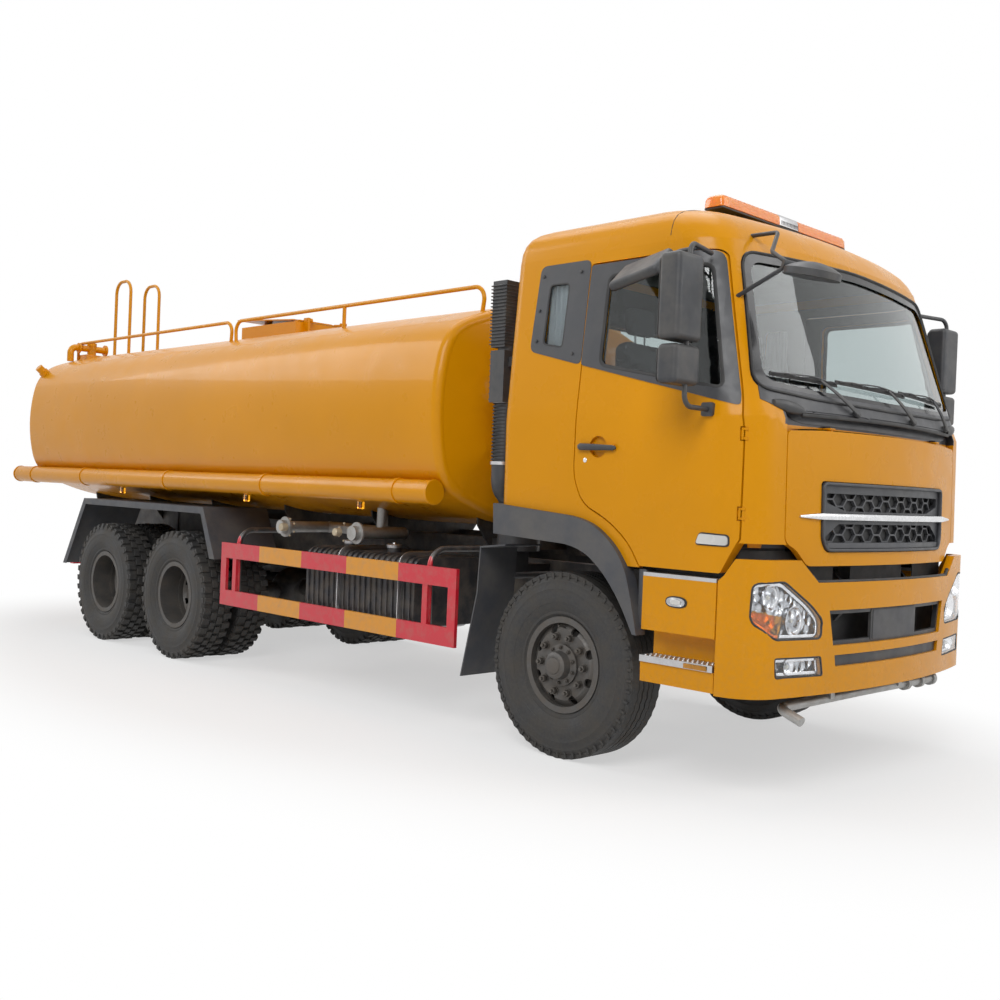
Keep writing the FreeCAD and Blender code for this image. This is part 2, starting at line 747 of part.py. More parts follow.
def spray_head():
    """Filling pipe with its valve on the rear top edge, and a nozzle at each corner."""
    x = -7400.0
    y = -620.0
    z = 2870.0
    crown = tank_top_z(abs(y))
    pieces = [rod((x, y, crown - 60), (x, y, z + 30), 45),
              box(x - 85, x + 85, y - 95, y + 95, crown - 60, crown + 22),
              rod((x, y, z), (x, y + 150, z), 34),
              rod((x, y - 150, z), (x, y - 130, z), 52),
              rod((x, y + 140, z), (x, y + 160, z), 58),
              rod((x, y, z + 30), (x, y, z + 62), 50),
              rod((x, y, z + 62), (x, y, z + 78), 26)]
    elbow = bent_tube([(x, y, z), (x, y - 230, z), (x, y - 230, crown - 60)], 34, 60)

    def out_of_corner(reach):
        # a point on the line that leaves the tank's upper corner square to it
        lean = math.radians(40.0)
        return (x - 60, -corner_y - (corner_arc + reach) * math.cos(lean),
                tank_middle_z + corner_z + (corner_arc + reach) * math.sin(lean))
    nozzle = [rod(out_of_corner(-30), out_of_corner(95), 40),
              rod(out_of_corner(-30), out_of_corner(34), 50)]
    return fuse(pieces + [elbow] + nozzle).cut(tank_solid(seat_gap))


# ---------------------------------------------------------------- sides below the tank
def side_guard():
    """Right: framed panel of bars, two posts and bent carriers to the frame."""
    y1 = -guard_y + guard_thickness
    y0 = -guard_y
    outer = box(guard_rear_x, guard_front_x, y0, y1, guard_bottom_z, guard_top_z)
    inner = box(guard_rear_x + 75, guard_front_x - 75, y0 - 1, y1 + 1,
                guard_bottom_z + guard_bar, guard_top_z - guard_bar)
    frame = outer.cut(inner)
    pieces = [frame]
    for x in (-3400, -1110):
        pieces.append(box(x - 25, x + 25, y0 + 4, y1, guard_bottom_z + 20, guard_top_z - 20))
        pieces.append(bent_tube([(x, y1 + 19, guard_bottom_z + 40), (x, y1 + 19, 1140),
                                 (x, -rail_outer_y - 0.1, 1140)], 21, 120))
    return fuse(pieces)


def mudguards():
    """Trapezoid guards over the twins and flaps behind the front wheels."""
    t = 6.0
    top = 1300.0
    outer_y = -1222.0
    inner_y = -610.0
    first = -wheelbase
    second = -wheelbase - tandem_spacing
    line = [(first + 640, 885), (first + 430, top), (second - 480, top), (second - 900, 650)]
    inside = [(first + 632, 885), (first + 426, top - t), (second - 476, top - t),
              (second - 892, 650)]
    sheet = side_prism(line + list(reversed(inside)), outer_y, inner_y)
    skirt_line = [(first + 560, 885), (first + 395, top - 55), (second - 445, top - 55),
                  (second - 830, 650)]
    skirt = side_prism(line + list(reversed(skirt_line)), outer_y, outer_y + t)
    brackets = []
    web_y = -rail_outer_y - 0.1
    for x in (first + 120, second - 120):
        brackets.append(box(x - 25, x + 25, inner_y - 200, web_y, top - t - 40, top - t))
        brackets.append(box(x - 25, x + 25, web_y - 8, web_y, 1000, top - t))
    rear = fuse([sheet, skirt] + brackets)
    flap = side_prism([(-630, 1180), (-645, 900), (-765, 370), (-775, 370), (-655, 900),
                       (-638, 1190)], -1200, -880)
    hood = side_prism([(-420, 1205), (-630, 1180), (-638, 1190), (-420, 1215)], -1200, -880)
    stay = rod((-655, -890, 1000), (-655, -rail_outer_y - 0.1, 1000), 20)
    front = fuse([flap, hood, stay])
    return Part.makeCompound([rear, mirrored(rear), front, mirrored(front)])


def fuel_tank():
    """Right: rounded box, two straps, fillers and carriers."""
    x0, x1 = -2600.0, -1360.0
    y0, y1 = -rail_outer_y - 670.0, -rail_outer_y - 50.0
    z0, z1 = 600.0, 1060.0
    body = box(x0, x1, y0, y1, z0, z1)
    body = body.makeFillet(70, [e for e in body.Edges if e.BoundBox.XLength > 500])
    pieces = [body]
    for x in (-2170, -1490):
        outer = box(x - 30, x + 30, y0 - 6, y1 + 6, z0 - 6, z1 + 6)
        outer = outer.makeFillet(74, [e for e in outer.Edges if e.BoundBox.XLength > 50])
        pieces.append(outer)
        pieces.append(box(x - 30, x + 30, y1, -rail_outer_y - 0.1, 840, 1000))
    for x in (-2330, -1830):
        pieces.append(rod((x, -900, z1 - 5), (x, -900, z1 + 45), 48))
    return fuse(pieces)


def battery_box():
    """Left: battery box with its lid, and three air reservoirs behind it."""
    x0, x1 = -2050.0, -1400.0
    case = box(x0, x1, 470, 1080, 620, 1000)
    lid = box(x0 - 10, x1 + 10, 460, 1092, 985, 1030)
    carrier = box(x0 + 60, x1 - 60, rail_outer_y + 0.1, 480, 820, 900)
    hanger = [box(-2840, -2760, rail_outer_y + 0.1, rail_outer_y + 30, 640, 1030)]
    for z in (700, 960):
        tank = rod((-3250, 620, z), (-2350, 620, z), 120)
        tank = tank.makeFillet(45, [tank.Edges[0], tank.Edges[2]])
        hanger += [tank, box(-2840, -2760, rail_outer_y + 0.1, 620, z - 20, z + 20)]
    return Part.makeCompound([fuse([case, lid, carrier]), fuse(hanger)])


coupling_radius = 52.0
coupling_length = 44.0


def water_pipes():
    """Right: outlet manifold under the tank with two hose couplings."""
    y = -640.0
    z = 1190.0
    tank_z = 2 * tank_middle_z - tank_top_z(abs(y)) + 40
    main = rod((-2960, y, z), (-2060, y, z), 42)
    drop = rod((-2300, y, z), (-2300, y, tank_z), 42)
    pieces = [main, drop]
    for x in (-2960, -2060):
        pieces.append(Part.makeSphere(46, Vector(x, y, z)))
        pieces.append(rod((x, y, z), (x, -1050, z), 42))
        pieces.append(rod((x, -1066, z), (x, -1050, z), 78))
        pieces.append(rod((x, -1066 - coupling_length, z), (x, -1066, z), coupling_radius))
    return fuse(pieces).cut(tank_bar(tank_rear_x, tank_front_x, seat_gap))


def front_spray_bar():
    """Water bar under the bumper with turned-out nozzles and its hangers."""
    bar = bent_tube([(1440, -900, 432), (1300, -890, 480), (1290, 0, 480)], 26, 60)
    other = rod((1290, 0, 480), (1300, 860, 480), 26)
    pieces = [bar, other]
    for y in (-395, 395):
        pieces.append(box(1250, 1330, y - 20, y + 20, 480, 560))
        pieces.append(box(1150, 1330, y - 20, y + 20, 552, rail_bottom - seat_gap))
    for y in (520, 700, 860):
        pieces.append(rod((1295, y - 18, 480), (1295, y + 18, 480), 42))
    return fuse(pieces)


def rear_bar():
    """Rear underrun bar on two drop plates, and the lamp boards."""
    half = rear_bar_half
    pieces = [box(-7560, -7480, -half, half, 560, 680)]
    for side in (-1, 1):
        y = side * 390
        pieces.append(box(-7560, rail_rear_x - 0.1, y - 30, y + 30, 600, 1060))
        y = side * rear_lamp_y
        pieces.append(box(-7500, -7480, y - 130, y + 130, 680, 900))
    return fuse(pieces)


# ---------------------------------------------------------------- bumper and steps
def plan_wire(x_rear, x_front, half_width, front_radius, corner, rear_corner, z):
    """Plan outline: bowed front, tangent corners, straight sides and back."""
    bow_x = x_front - front_radius
    cy = half_width - corner
    cx = bow_x + math.sqrt((front_radius - corner) ** 2 - cy ** 2)
    k = front_radius / (front_radius - corner)
    fx = bow_x + (cx - bow_x) * k
    fy = cy * k
    slope = math.atan2(cy, cx - bow_x)
    turn = (slope + math.pi / 2) / 2
    mx = cx + corner * math.cos(turn)
    my = cy + corner * math.sin(turn)
    q = rear_corner
    d = q * (1 - math.sqrt(0.5))
    xr = x_rear
    hw = half_width

    def at(x, y):
        return Vector(x, y, z)
    edges = [Part.Arc(at(fx, -fy), at(x_front, 0), at(fx, fy)),
             Part.Arc(at(fx, fy), at(mx, my), at(cx, hw)),
             Part.LineSegment(at(cx, hw), at(xr + q, hw)),
             Part.Arc(at(xr + q, hw), at(xr + d, hw - d), at(xr, hw - q)),
             Part.LineSegment(at(xr, hw - q), at(xr, q - hw)),
             Part.Arc(at(xr, q - hw), at(xr + d, d - hw), at(xr + q, -hw)),
             Part.LineSegment(at(xr + q, -hw), at(cx, -hw)),
             Part.Arc(at(cx, -hw), at(mx, -my), at(fx, -fy))]
    return Part.Wire([e.toShape() for e in edges])


def bumper_solid(inset):
    wire = plan_wire(0 + inset, bumper_front_x - inset, bumper_half_width - inset,
                     cab_front_radius - inset, 230.0 - inset, 60.0, bumper_bottom_z - 5)
    return Part.Face(wire).extrude(Vector(0, 0, 800))


def bumper_layer(inner, outer):
    return bumper_solid(outer).cut(bumper_solid(inner))


lower_grille_outline = symmetric([(0, 800), (625, 800), (665, 985), (0, 985)])
lower_slot_outline = symmetric([(0, 690), (600, 690), (610, 750), (0, 750)])
headlamp_outline = [(720, 840, 30), (1060, 845, 45), (1185, 930, 45), (1180, 1130, 20),
                    (1010, 1140, 40), (800, 1010, 40), (720, 940, 40)]
fog_outline = [(700, 650, 12), (1050, 655, 30), (1060, 755, 15), (720, 750, 12)]


def front_bumper():
    """Bumper shell with its lamp and grille openings."""
    shell = bumper_layer(bumper_wall, 0)
    keep = front_prism(symmetric([(0, bumper_bottom_z), (1300, bumper_bottom_z), (1300, 1245),
                                  (900, 1245), (760, 1130), (0, 1130)]), 1140, 1600)
    # the rear edge of each corner leans like the door's lower front edge
    lean = side_prism([(1140, 500), (1140, 1130), (1172, 1158), (1228, 1246), (1700, 1246),
                       (1700, 500)],
                      -1300, 1300)
    shell = shell.common(keep).common(lean)
    cuts = [front_prism(lower_grille_outline, 1100, 1600),
            front_prism(lower_slot_outline, 1100, 1600)]
    for outline in (headlamp_outline, fog_outline):
        cuts.append(front_prism(outline, 1100, 1600))
        other_side = [(-p[0],) + tuple(p[1:]) for p in outline]
        cuts.append(front_prism(other_side, 1100, 1600))
    shell = shell.cut(Part.makeCompound(cuts))
    arms = []
    back = bumper_front_x - bumper_wall
    for side in (-1, 1):
        y = side * 330
        arms.append(box(rail_front_x + 0.1, back - 3, y - 25, y + 25, 1000, 1060))
        arms.append(box(back - 24, back + 4, y - 25, y + 25, 1000, 1110))
        y0, y1 = sorted((y, side * 385))
        arms.append(box(rail_front_x + 0.1, rail_front_x + 10, y0, y1, 980, rail_top))
    return fuse([shell] + arms)


def lamps():
    """Head and fog lamps, as lenses in the bumper, and the rear lamps."""
    layer = bumper_layer(bumper_wall, 3)
    pieces = []
    for outline in (headlamp_outline, fog_outline):
        lens = layer.common(front_prism(outline, 1100, 1600, -seat_gap))
        pieces.append(lens)
        pieces.append(mirrored(lens))
    for side in (-1, 1):
        y = side * rear_lamp_y
        pieces.append(box(-7530, -7500.3, y - 120, y + 120, 720, 880))
    return Part.makeCompound(pieces)


def lower_grille():
    """Slats behind the bumper's two openings."""
    layer = bumper_layer(bumper_wall, 18)
    pieces = []
    ring_face = front_prism(lower_grille_outline, 1100, 1600, -seat_gap)
    hole = front_prism(lower_grille_outline, 1100, 1600, -22)
    frame = layer.common(ring_face.cut(hole))
    slats = []
    for n in range(3):
        z = 845 + n * 42
        slats.append(front_prism(symmetric([(0, z), (640, z), (640, z + 12), (0, z + 12)]),
                                 1100, 1600))
    for y in (-420, -210, 0, 210, 420):
        slats.append(box(1100, 1600, y - 6, y + 6, 800, 985))
    inner = layer.common(hole).common(Part.makeCompound(slats))
    pieces.append(fuse([frame] + inner.Solids))
    slot = front_prism(lower_slot_outline, 1100, 1600, -seat_gap)
    pieces.append(layer.common(slot))
    return Part.makeCompound(pieces)


def step_fenders():
    """Side panels between wheel arch and bumper, with the step recess."""
    x0 = fender_rear_x
    x1 = fender_front_x
    profile = [(-1245, 835), (-1245, 1118), (-1110, 1118), (-1110, 560), (-1238, 560),
               (-1242, 665), (-1130, 665), (-1130, 835)]
    panel = front_prism(profile, x0, x1)
    stay = box(860, 920, -1112, -rail_outer_y - 0.1, 870, 930)
    right = fuse([panel, stay])
    return Part.makeCompound([right, mirrored(right)])


def step_treads():
    """The step and the sill strip on each side."""
    x0 = fender_rear_x
    x1 = fender_front_x
    tread = box(x0 + 1, x1 - 1, -1252, -1130.3, 665.3, 700)
    strip = box(x0 + 1, x1 - 1, -1245, -1110, 1118.3, 1138)
    right = Part.makeCompound([tread, strip])
    return Part.makeCompound([right, mirrored(right)])


# ---------------------------------------------------------------- cab
# (height, foremost x, half-width) of the cab's outer skin
cab_sections = [(cab_bottom_z, 1443.0, 1236.0), (1960.0, 1430.0, 1245.0),
                (2040.0, 1398.0, 1240.0), (roof_seam_z, 1122.0, 1175.0)]
# the same for the roof, above its seam
# as (height, foremost x, half-width, set-back of the rear edge)
roof_sections = [(roof_seam_z + 0.3, 1120.0, 1174.0, 0.0), (2960.0, 1082.0, 1166.0, 3.0),
                 (3010.0, 1036.0, 1149.0, 12.0), (3050.0, 983.0, 1121.0, 28.0),
                 (3080.0, 925.0, 1080.0, 52.0), (3105.0, 850.0, 1018.0, 88.0),
                 (3128.0, 745.0, 925.0, 138.0), (3148.0, 615.0, 800.0, 208.0),
                 (3164.0, 470.0, 630.0, 300.0), (roof_top_z, 330.0, 420.0, 420.0)]


def cab_solid(inset):
    wires = []
    for z, front, half in cab_sections:
        wires.append(plan_wire(cab_rear_x + inset, front - inset, half - inset,
                               cab_front_radius - inset, cab_corner_radius - inset,
                               max(cab_rear_corner - inset, 20), z))
    return Part.makeLoft(wires, True, True)


def cab_layer(inner, outer):
    """What lies between two depths under the cab's skin."""
    return cab_solid(outer).cut(cab_solid(inner))


# outlines as (place along the truck or across it, height, reach of a rounded corner)
door_outline = [(165, 2832, 20), (1000, 2832, 45), (1196, 2060, 75), (1223, 1900, 75),
                (1223, 1343), (1140, 1162, 15), (631, 1162), (545, 1290, 72),
                (400, 1400, 85), (215, 1480, 75), (140, 1630, 80)]
door_window = [(290, 2765, 42), (965, 2765, 50), (1120, 2085, 42), (275, 2245, 42)]
quarter_window = [(-160, 2762, 30), (25, 2758, 30), (8, 2350, 30), (-180, 2386, 30)]
windscreen_outline = symmetric([(0, 2075), (700, 2085, 200), (1116, 2118, 60), (1000, 2824, 70),
                                (0, 2850)])
flap_outline = symmetric([(0, 1212), (800, 1212, 30), (890, 1300, 38), (965, 1330, 38),
                          (965, 1900, 25), (700, 1915), (0, 1920)])
# the wheel arch in the cab's side: outer and inner edge of its dark trim
arch_outer = [(-465, 1460), (190, 1410, 70), (330, 1370, 70), (470, 1270, 72), (560, 1150, 72),
              (620, 950, 75), (656, 798)]
arch_inner = [(-455, 1279), (150, 1250, 60), (280, 1210, 62), (400, 1120, 65), (490, 1020, 62),
              (560, 920, 58), (628, 800)]
flap_hinge_x = 1380.0
flap_hinge_z = 1930.0
flap_hinge_y = 620.0
flap_pin_radius = 6.0
cowl_recess = 45.0          # so that the flap's upper edge can turn under the windscreen
cowl_top_z = 2000.0
mirror_x = 1010.0           # middle of the two stacked mirror heads
mirror_y = 1475.0
mirror_arm_z = 2800.0
light_bar_half = 700.0


def flap_rod(y0, y1, radius):
    """Round bar on the axis of the flap's hinges."""
    return rod((flap_hinge_x, y0, flap_hinge_z), (flap_hinge_x, y1, flap_hinge_z), radius)


def hinge_pocket(z, side):
    y = side * door_hinge_y
    return rod((door_hinge_x, y, z - 6), (door_hinge_x, y, z + 66), 14)


door_hinge_heights = (1440.0, 1840.0)


def door():
    """Right door, cut from the cab's wall, with its hinge eyes."""
    wall = cab_layer(cab_wall, 0)
    panel = wall.common(side_prism(door_outline, -1400, -900, -panel_gap / 2))
    panel = panel.cut(side_prism(door_window, -1500, -900))
    eyes = []
    for z in door_hinge_heights:
        panel = panel.cut(hinge_pocket(z, -1))
        eye = rod((door_hinge_x, -door_hinge_y, z + 13), (door_hinge_x, -door_hinge_y, z + 47), 7)
        web = box(door_hinge_x - 20, door_hinge_x, -door_hinge_y, -door_hinge_y + 7, z + 13, z + 47)
        bore = rod((door_hinge_x, -door_hinge_y, z), (door_hinge_x, -door_hinge_y, z + 60),
                   4 + running_gap)
        eyes.append(eye.fuse(web).cut(bore))
    recess = rod((315, -1260, 1800), (315, -1222, 1800), 60)
    panel = fuse([panel] + eyes)
    handle = box(190, 440, -1262, -1247, 1788, 1812)
    posts = [box(200, 225, -1250, -1235, 1790, 1810), box(405, 430, -1250, -1235, 1790, 1810)]
    return fuse([panel.cut(recess), handle] + posts)


def door_glass():
    glass = cab_layer(glass_depth + glass_thickness, glass_depth)
    return glass.common(side_prism(door_window, -1500, -900, -seat_gap))


def cab_shell():
    """Floor, walls and pillars, with every opening cut."""
    wall = cab_layer(cab_wall, 0)
    cuts = []
    for side in (-1, 1):
        y0, y1 = sorted((side * 900, side * 1400))
        cuts.append(side_prism(door_outline, y0, y1, panel_gap / 2))
        cuts.append(side_prism(quarter_window, y0, y1))
        below = [(-600, 1000), (-600, 1460)] + arch_outer[:-2] + [(640, 1000)]
        cuts.append(side_prism(below, y0, y1))
        for z in door_hinge_heights:
            cuts.append(hinge_pocket(z, side))
    cuts.append(front_prism(windscreen_outline, 1000, 1600))
    cuts.append(front_prism(flap_outline, 1300, 1600, panel_gap))
    cuts.append(box(-600, -300, -560, 560, 2180, 2640))
    # below the corner panels the wall ends above the bumper
    cuts.append(box(1100, 1600, -1300, 1300, 1000, 1322))
    # the rear wall ends at the floor, and over the engine at the tunnel
    cuts.append(box(-600, -300, -1150, 1150, 1000, floor_z))
    cuts.append(box(-600, -300, -350, 350, 1000, 1560))
    cuts.append(cab_layer(cowl_recess, -5).common(
        front_prism(symmetric([(0, 1890), (975, 1890), (975, cowl_top_z), (0, cowl_top_z)]),
                    1000, 1600)))
    shell = wall.cut(Part.makeCompound(cuts))
    floor_slab = cab_solid(cab_wall - 5).common(box(-600, 1330, -1300, 1300, floor_z,
                                                    floor_z + floor_thickness))
    tunnel_out = box(cab_rear_x + 60, 1180, -390, 390, floor_z, 1600)
    tunnel_in = box(cab_rear_x, 1150, -350, 350, floor_z - 10, 1560)
    bulkhead = cab_layer(150, 125).common(box(1100, 1600, -1300, 1300, floor_z, 2070))
    shelf = cab_solid(cab_wall - 5).common(box(1180, 1600, -1300, 1300, 2035, 2065))
    inside = fuse([bulkhead, shelf, floor_slab, tunnel_out]).cut(tunnel_in)
    for side in (-1, 1):
        y0, y1 = sorted((side * 900, side * 1400))
        room = side_prism(door_outline, y0, y1, panel_gap / 2)
        inside = inside.cut(room.common(cab_layer(cab_wall + panel_gap, -5)))
        inside = inside.cut(rod((door_hinge_x, side * door_hinge_y, floor_z - 1),
                                (door_hinge_x, side * door_hinge_y, 1950), door_corner_sweep))
    pieces = [shell, inside]
    # ears and pins of the door hinges
    for side in (-1, 1):
        y = side * door_hinge_y
        for z in door_hinge_heights:
            pieces.append(rod((door_hinge_x, y, z), (door_hinge_x, y, z + 60), 4))
            for z0 in (z, z + 48):
                pieces.append(rod((door_hinge_x, y, z0), (door_hinge_x, y, z0 + 12), 7))
                y0, y1 = sorted((y, y - side * 7))
                pieces.append(box(door_hinge_x, door_hinge_x + 30, y0, y1, z0, z0 + 12))
    # ears and pins of the flap's hinges
    for side in (-1, 1):
        y = side * flap_hinge_y
        pieces.append(flap_rod(y - 25, y + 25, flap_pin_radius))
        for low in (y - 25, y + 10.5):
            pieces.append(flap_rod(low, low + 14.5, 9))
            pieces.append(box(flap_hinge_x - 50, flap_hinge_x, low, low + 14.5,
                              flap_hinge_z - 5, flap_hinge_z + 9))
    # legs down to the tilt pin
    for side in (-1, 1):
        y0, y1 = sorted((side * (tilt_y - 14), side * (tilt_y + 8)))
        leg = side_prism([(1107, floor_z + 20), (1250, floor_z + 20), (1238, floor_z - 60),
                          (tilt_x + 16, tilt_z + 15), (tilt_x + 16, tilt_z - 15),
                          (tilt_x - 16, tilt_z - 15)], y0, y1)
        pieces.append(rod((tilt_x, y0, tilt_z), (tilt_x, y1, tilt_z), 24))
        pieces.append(leg)
        y2 = side * (tilt_y + 50)
        pieces.append(rod((tilt_x, side * (tilt_y - 10), tilt_z), (tilt_x, y2, tilt_z), 18))
    return fuse(pieces)


def roof_solid(inset):
    wires = []
    for z, front, half, back in roof_sections:
        corner = min(cab_corner_radius, half * 0.4) - inset * 0.5
        level = z - inset if z > 3000 else z
        wires.append(plan_wire(cab_rear_x + back + inset, front - inset, half - inset,
                               cab_front_radius - inset, corner, 90.0, level))
    return Part.makeLoft(wires, True, True)


def cab_roof():
    outer = roof_solid(0)
    inner = roof_solid(45)
    return outer.cut(inner)


def cab_glass():
    """Windscreen, quarter windows and rear window."""
    glass = cab_layer(glass_depth + glass_thickness, glass_depth)
    pieces = [glass.common(front_prism(windscreen_outline, 1000, 1600, -seat_gap))]
    for side in (-1, 1):
        y0, y1 = sorted((side * 900, side * 1400))
        pieces.append(glass.common(side_prism(quarter_window, y0, y1, -seat_gap)))
    pieces.append(glass.common(box(-600, -300, -559.7, 559.7, 2180.3, 2639.7)))
    return Part.makeCompound(pieces)


upper_grille_outline = symmetric([(0, 1283), (660, 1283, 30), (700, 1345, 30), (705, 1654, 22),
                                  (0, 1654)])


def front_flap():
    """Front panel hinged along its upper edge."""
    panel = cab_layer(32, 0).common(front_prism(flap_outline, 1200, 1600))
    panel = panel.cut(front_prism(upper_grille_outline, 1200, 1600))
    arms = []
    bores = []
    for side in (-1, 1):
        y = side * flap_hinge_y
        arms.append(flap_rod(y - 10, y + 10, 10))
        arms.append(box(flap_hinge_x - 20, flap_hinge_x + 4, y - 10, y + 10,
                        flap_hinge_z - 40, flap_hinge_z))
        bores.append(flap_rod(y - 30, y + 30, flap_pin_radius + running_gap))
    return fuse([panel] + arms).cut(Part.makeCompound(bores))


def flap_grille():
    """Frame, centre bar and mesh carrier of the upper grille."""
    layer = cab_layer(30, 4)
    outer = front_prism(upper_grille_outline, 1200, 1600, -seat_gap)
    hole = front_prism(upper_grille_outline, 1200, 1600, -28)
    frame = layer.common(outer.cut(hole))
    mesh = cab_layer(26, 18).common(hole)
    bar = cab_layer(20, 2).common(front_prism(symmetric([(0, 1452), (690, 1452), (690, 1492),
                                                         (0, 1492)]), 1200, 1600))
    return fuse([frame, mesh, bar])


def arch_trims():
    """Dark lip round each front wheel arch, carried by the cab's side."""
    lip = side_prism(arch_outer + list(reversed(arch_inner)), -1272, -1192, -seat_gap)
    return Part.makeCompound([lip, mirrored(lip)])


def wipers():
    """Three wipers parked along the foot of the windscreen."""
    pieces = []
    skin = cab_solid(-seat_gap)
    # (pivot y, elbow y, tip y)
    for pivot, elbow, tip in ((-395, -690, -1040), (246, -31, -531), (800, 615, 138)):
        def on_glass(y, z, lift):
            part = max(0.0, z - 2040.0) / (roof_seam_z - 2040.0) - max(0.0, 2040.0 - z) / 700.0
            front = 1398.0 + part * (1122.0 - 1398.0)
            bow = math.sqrt((cab_front_radius) ** 2 - y ** 2)
            return front - cab_front_radius + bow + lift
        end = elbow + (elbow - tip) * 0.5
        bend = (on_glass(elbow, 2180, 30), elbow, 2180)
        arm = rod((on_glass(pivot, 2020, 25), pivot, 2020), bend, 9)
        post = rod((on_glass(pivot, 2020, -6), pivot, 2020),
                   (on_glass(pivot, 2020, 30), pivot, 2020), 14)
        blade = rod(bend, (on_glass(tip, 2185, 16), tip, 2185), 8)
        back = rod(bend, (on_glass(end, 2168, 18), end, 2168), 8)
        pieces.append(fuse([arm, post, blade, back]).cut(skin))
    return Part.makeCompound(pieces)


def light_bar():
    """Beacon bar on two feet across the roof."""
    half = light_bar_half
    base = box(560, 690, 10 - half, half - 10, 3178, 3190)
    dome = box(555, 695, -half, half, 3190, 3262)
    dome = dome.makeFillet(34, [e for e in dome.Edges if e.BoundBox.ZMin > 3200])
    feet = [box(590, 660, y - 30, y + 30, 3120, 3180) for y in (-420, 420)]
    return fuse([base, dome] + feet).cut(roof_solid(-seat_gap))


def mirror_heads():
    """Right: two stacked heads on a tube arm with a foot at the door's waist."""
    x = mirror_x
    y = -mirror_y
    main = box(x - 65, x + 65, y - 105, y + 105, 2310, 2740)
    main = main.makeFillet(28, main.Edges)
    small = box(x - 60, x + 60, y - 105, y + 105, 2095, 2290)
    small = small.makeFillet(26, small.Edges)
    tube = bent_tube([(x + 30, -1215, 1990), (x + 30, y + 20, 1990), (x + 30, y + 20, mirror_arm_z),
                      (x - 40, -1180, mirror_arm_z)], 13, 60)
    foot = box(x - 5, x + 65, -1262, -1225, 1955, 2025)
    foot = foot.makeFillet(12, [e for e in foot.Edges if e.BoundBox.YLength > 30])
    return [main, small, tube, foot]


def kerb_mirror():
    """Shell above the door glass, leaning outwards, on a short arm to the tube."""
    head = box(-160, 160, -115, 115, -28, 28)
    head = head.makeFillet(24, head.Edges)
    head.rotate(Vector(0, 0, 0), Vector(1, 0, 0), 38)
    head.rotate(Vector(0, 0, 0), Vector(0, 1, 0), -12)
    head.translate(Vector(650, -1345, 2722))
    x = mirror_x
    arm = bent_tube([(700, -1330, 2735), (850, -1290, mirror_arm_z + 6),
                     (x - 8, -1330, mirror_arm_z)], 11, 50)
    return [head, arm]


def door_mirrors(pieces):
    return fuse(pieces).cut(cab_solid(-seat_gap)).cut(roof_solid(-seat_gap))


def front_mirror():
    """Round mirror ahead of the windscreen's right corner, on its two arms."""
    centre = Vector(1497, -1080, 2650)
    ball = Part.makeSphere(250, centre + Vector(0, 0, -190))
    x, y, z = centre
    head = ball.common(rod((x, y, z), (x, y, z + 70), 140))
    head = head.fuse(rod((x, y, z - 16), (x, y, z), 140))
    head.rotate(centre, Vector(0, 1, 0), 12)
    knuckle_at = (1370, -1080, 2715)
    upper = bent_tube([knuckle_at, (1240, -1040, 2800), (1200, -925, 2925),
                       (940, -860, 2945)], 11, 40)
    lower = rod(knuckle_at, (1055, -1085, 2575), 11)
    hinge = rod((1350, -1110, 2715), (1400, -1050, 2700), 24)
    return fuse([head, upper, lower, hinge]).cut(roof_solid(-seat_gap)).cut(cab_solid(-seat_gap))


def cab_interior():
    """Dashboard, steering wheel with its column, and the seat bases."""
    top = 2034.7
    dash = side_prism([(1000, 1760), (960, 1900), (1010, 2020), (1180, top), (1230, top),
                       (1180, 1760)], -1120, 1120)
    dash = dash.common(cab_solid(150 + seat_gap))
    column = rod((1060, 560, 1800), (850, 560, 1985), 32)
    wheel = Part.makeTorus(225, 17, Vector(0, 0, 0), Vector(0, 0, 1))
    spokes = [box(-225, 225, -18, 18, -8, 8), box(-18, 18, -225, 0, -8, 8)]
    wheel = fuse([wheel, rod((0, 0, -30), (0, 0, 20), 55)] + spokes)
    wheel.rotate(Vector(0, 0, 0), Vector(0, 1, 0), -48)
    wheel.translate(Vector(840, 560, 1993))
    pieces = [fuse([dash, column, wheel])]
    for y in (-600, 600):
        pieces.append(box(140, 620, y - 190, y + 190, floor_z + floor_thickness + seat_gap,
                          floor_z + floor_thickness + 310))
    return Part.makeCompound(pieces)


def seats():
    """Cushion, back and head rest of each seat."""
    pieces = []
    base = floor_z + floor_thickness + 310 + seat_gap
    top = base + 140
    for y in (-600, 600):
        cushion = box(120, 660, y - 250, y + 250, base, top)
        cushion = cushion.makeFillet(35, [e for e in cushion.Edges if e.BoundBox.ZMin > base + 1])
        low = top + seat_gap
        back = side_prism([(130, low), (260, low), (130, low + 700), (20, low + 700)],
                          y - 245, y + 245)
        back = back.makeFillet(30, [e for e in back.Edges if e.BoundBox.ZMin < low + 650
                                    and e.BoundBox.ZLength > 600])
        high = low + 700 + seat_gap
        head = side_prism([(25, high), (115, high), (95, high + 190), (15, high + 190)],
                          y - 130, y + 130)
        head = head.makeFillet(25, [e for e in head.Edges if e.BoundBox.ZMax > high + 1])
        pieces += [cushion, back, head]
    return Part.makeCompound(pieces)


def air_intake():
    """Snorkel on the cab's rear wall with its bellows."""
    y = -1060.0
    fins = box(-680, -560, y - 75, y + 75, 2420, 2830)
    middle = box(-675, -555, y - 80, y + 80, 2080, 2400)
    bellows = rod((-610, y, 1700), (-610, y, 2100), 62)
    bracket = box(-560, cab_rear_x - 0.1, y - 40, y + 40, 2300, 2360)
    return fuse([fins, middle, bellows, bracket, rod((-610, y, 2390), (-610, y, 2430), 60)])


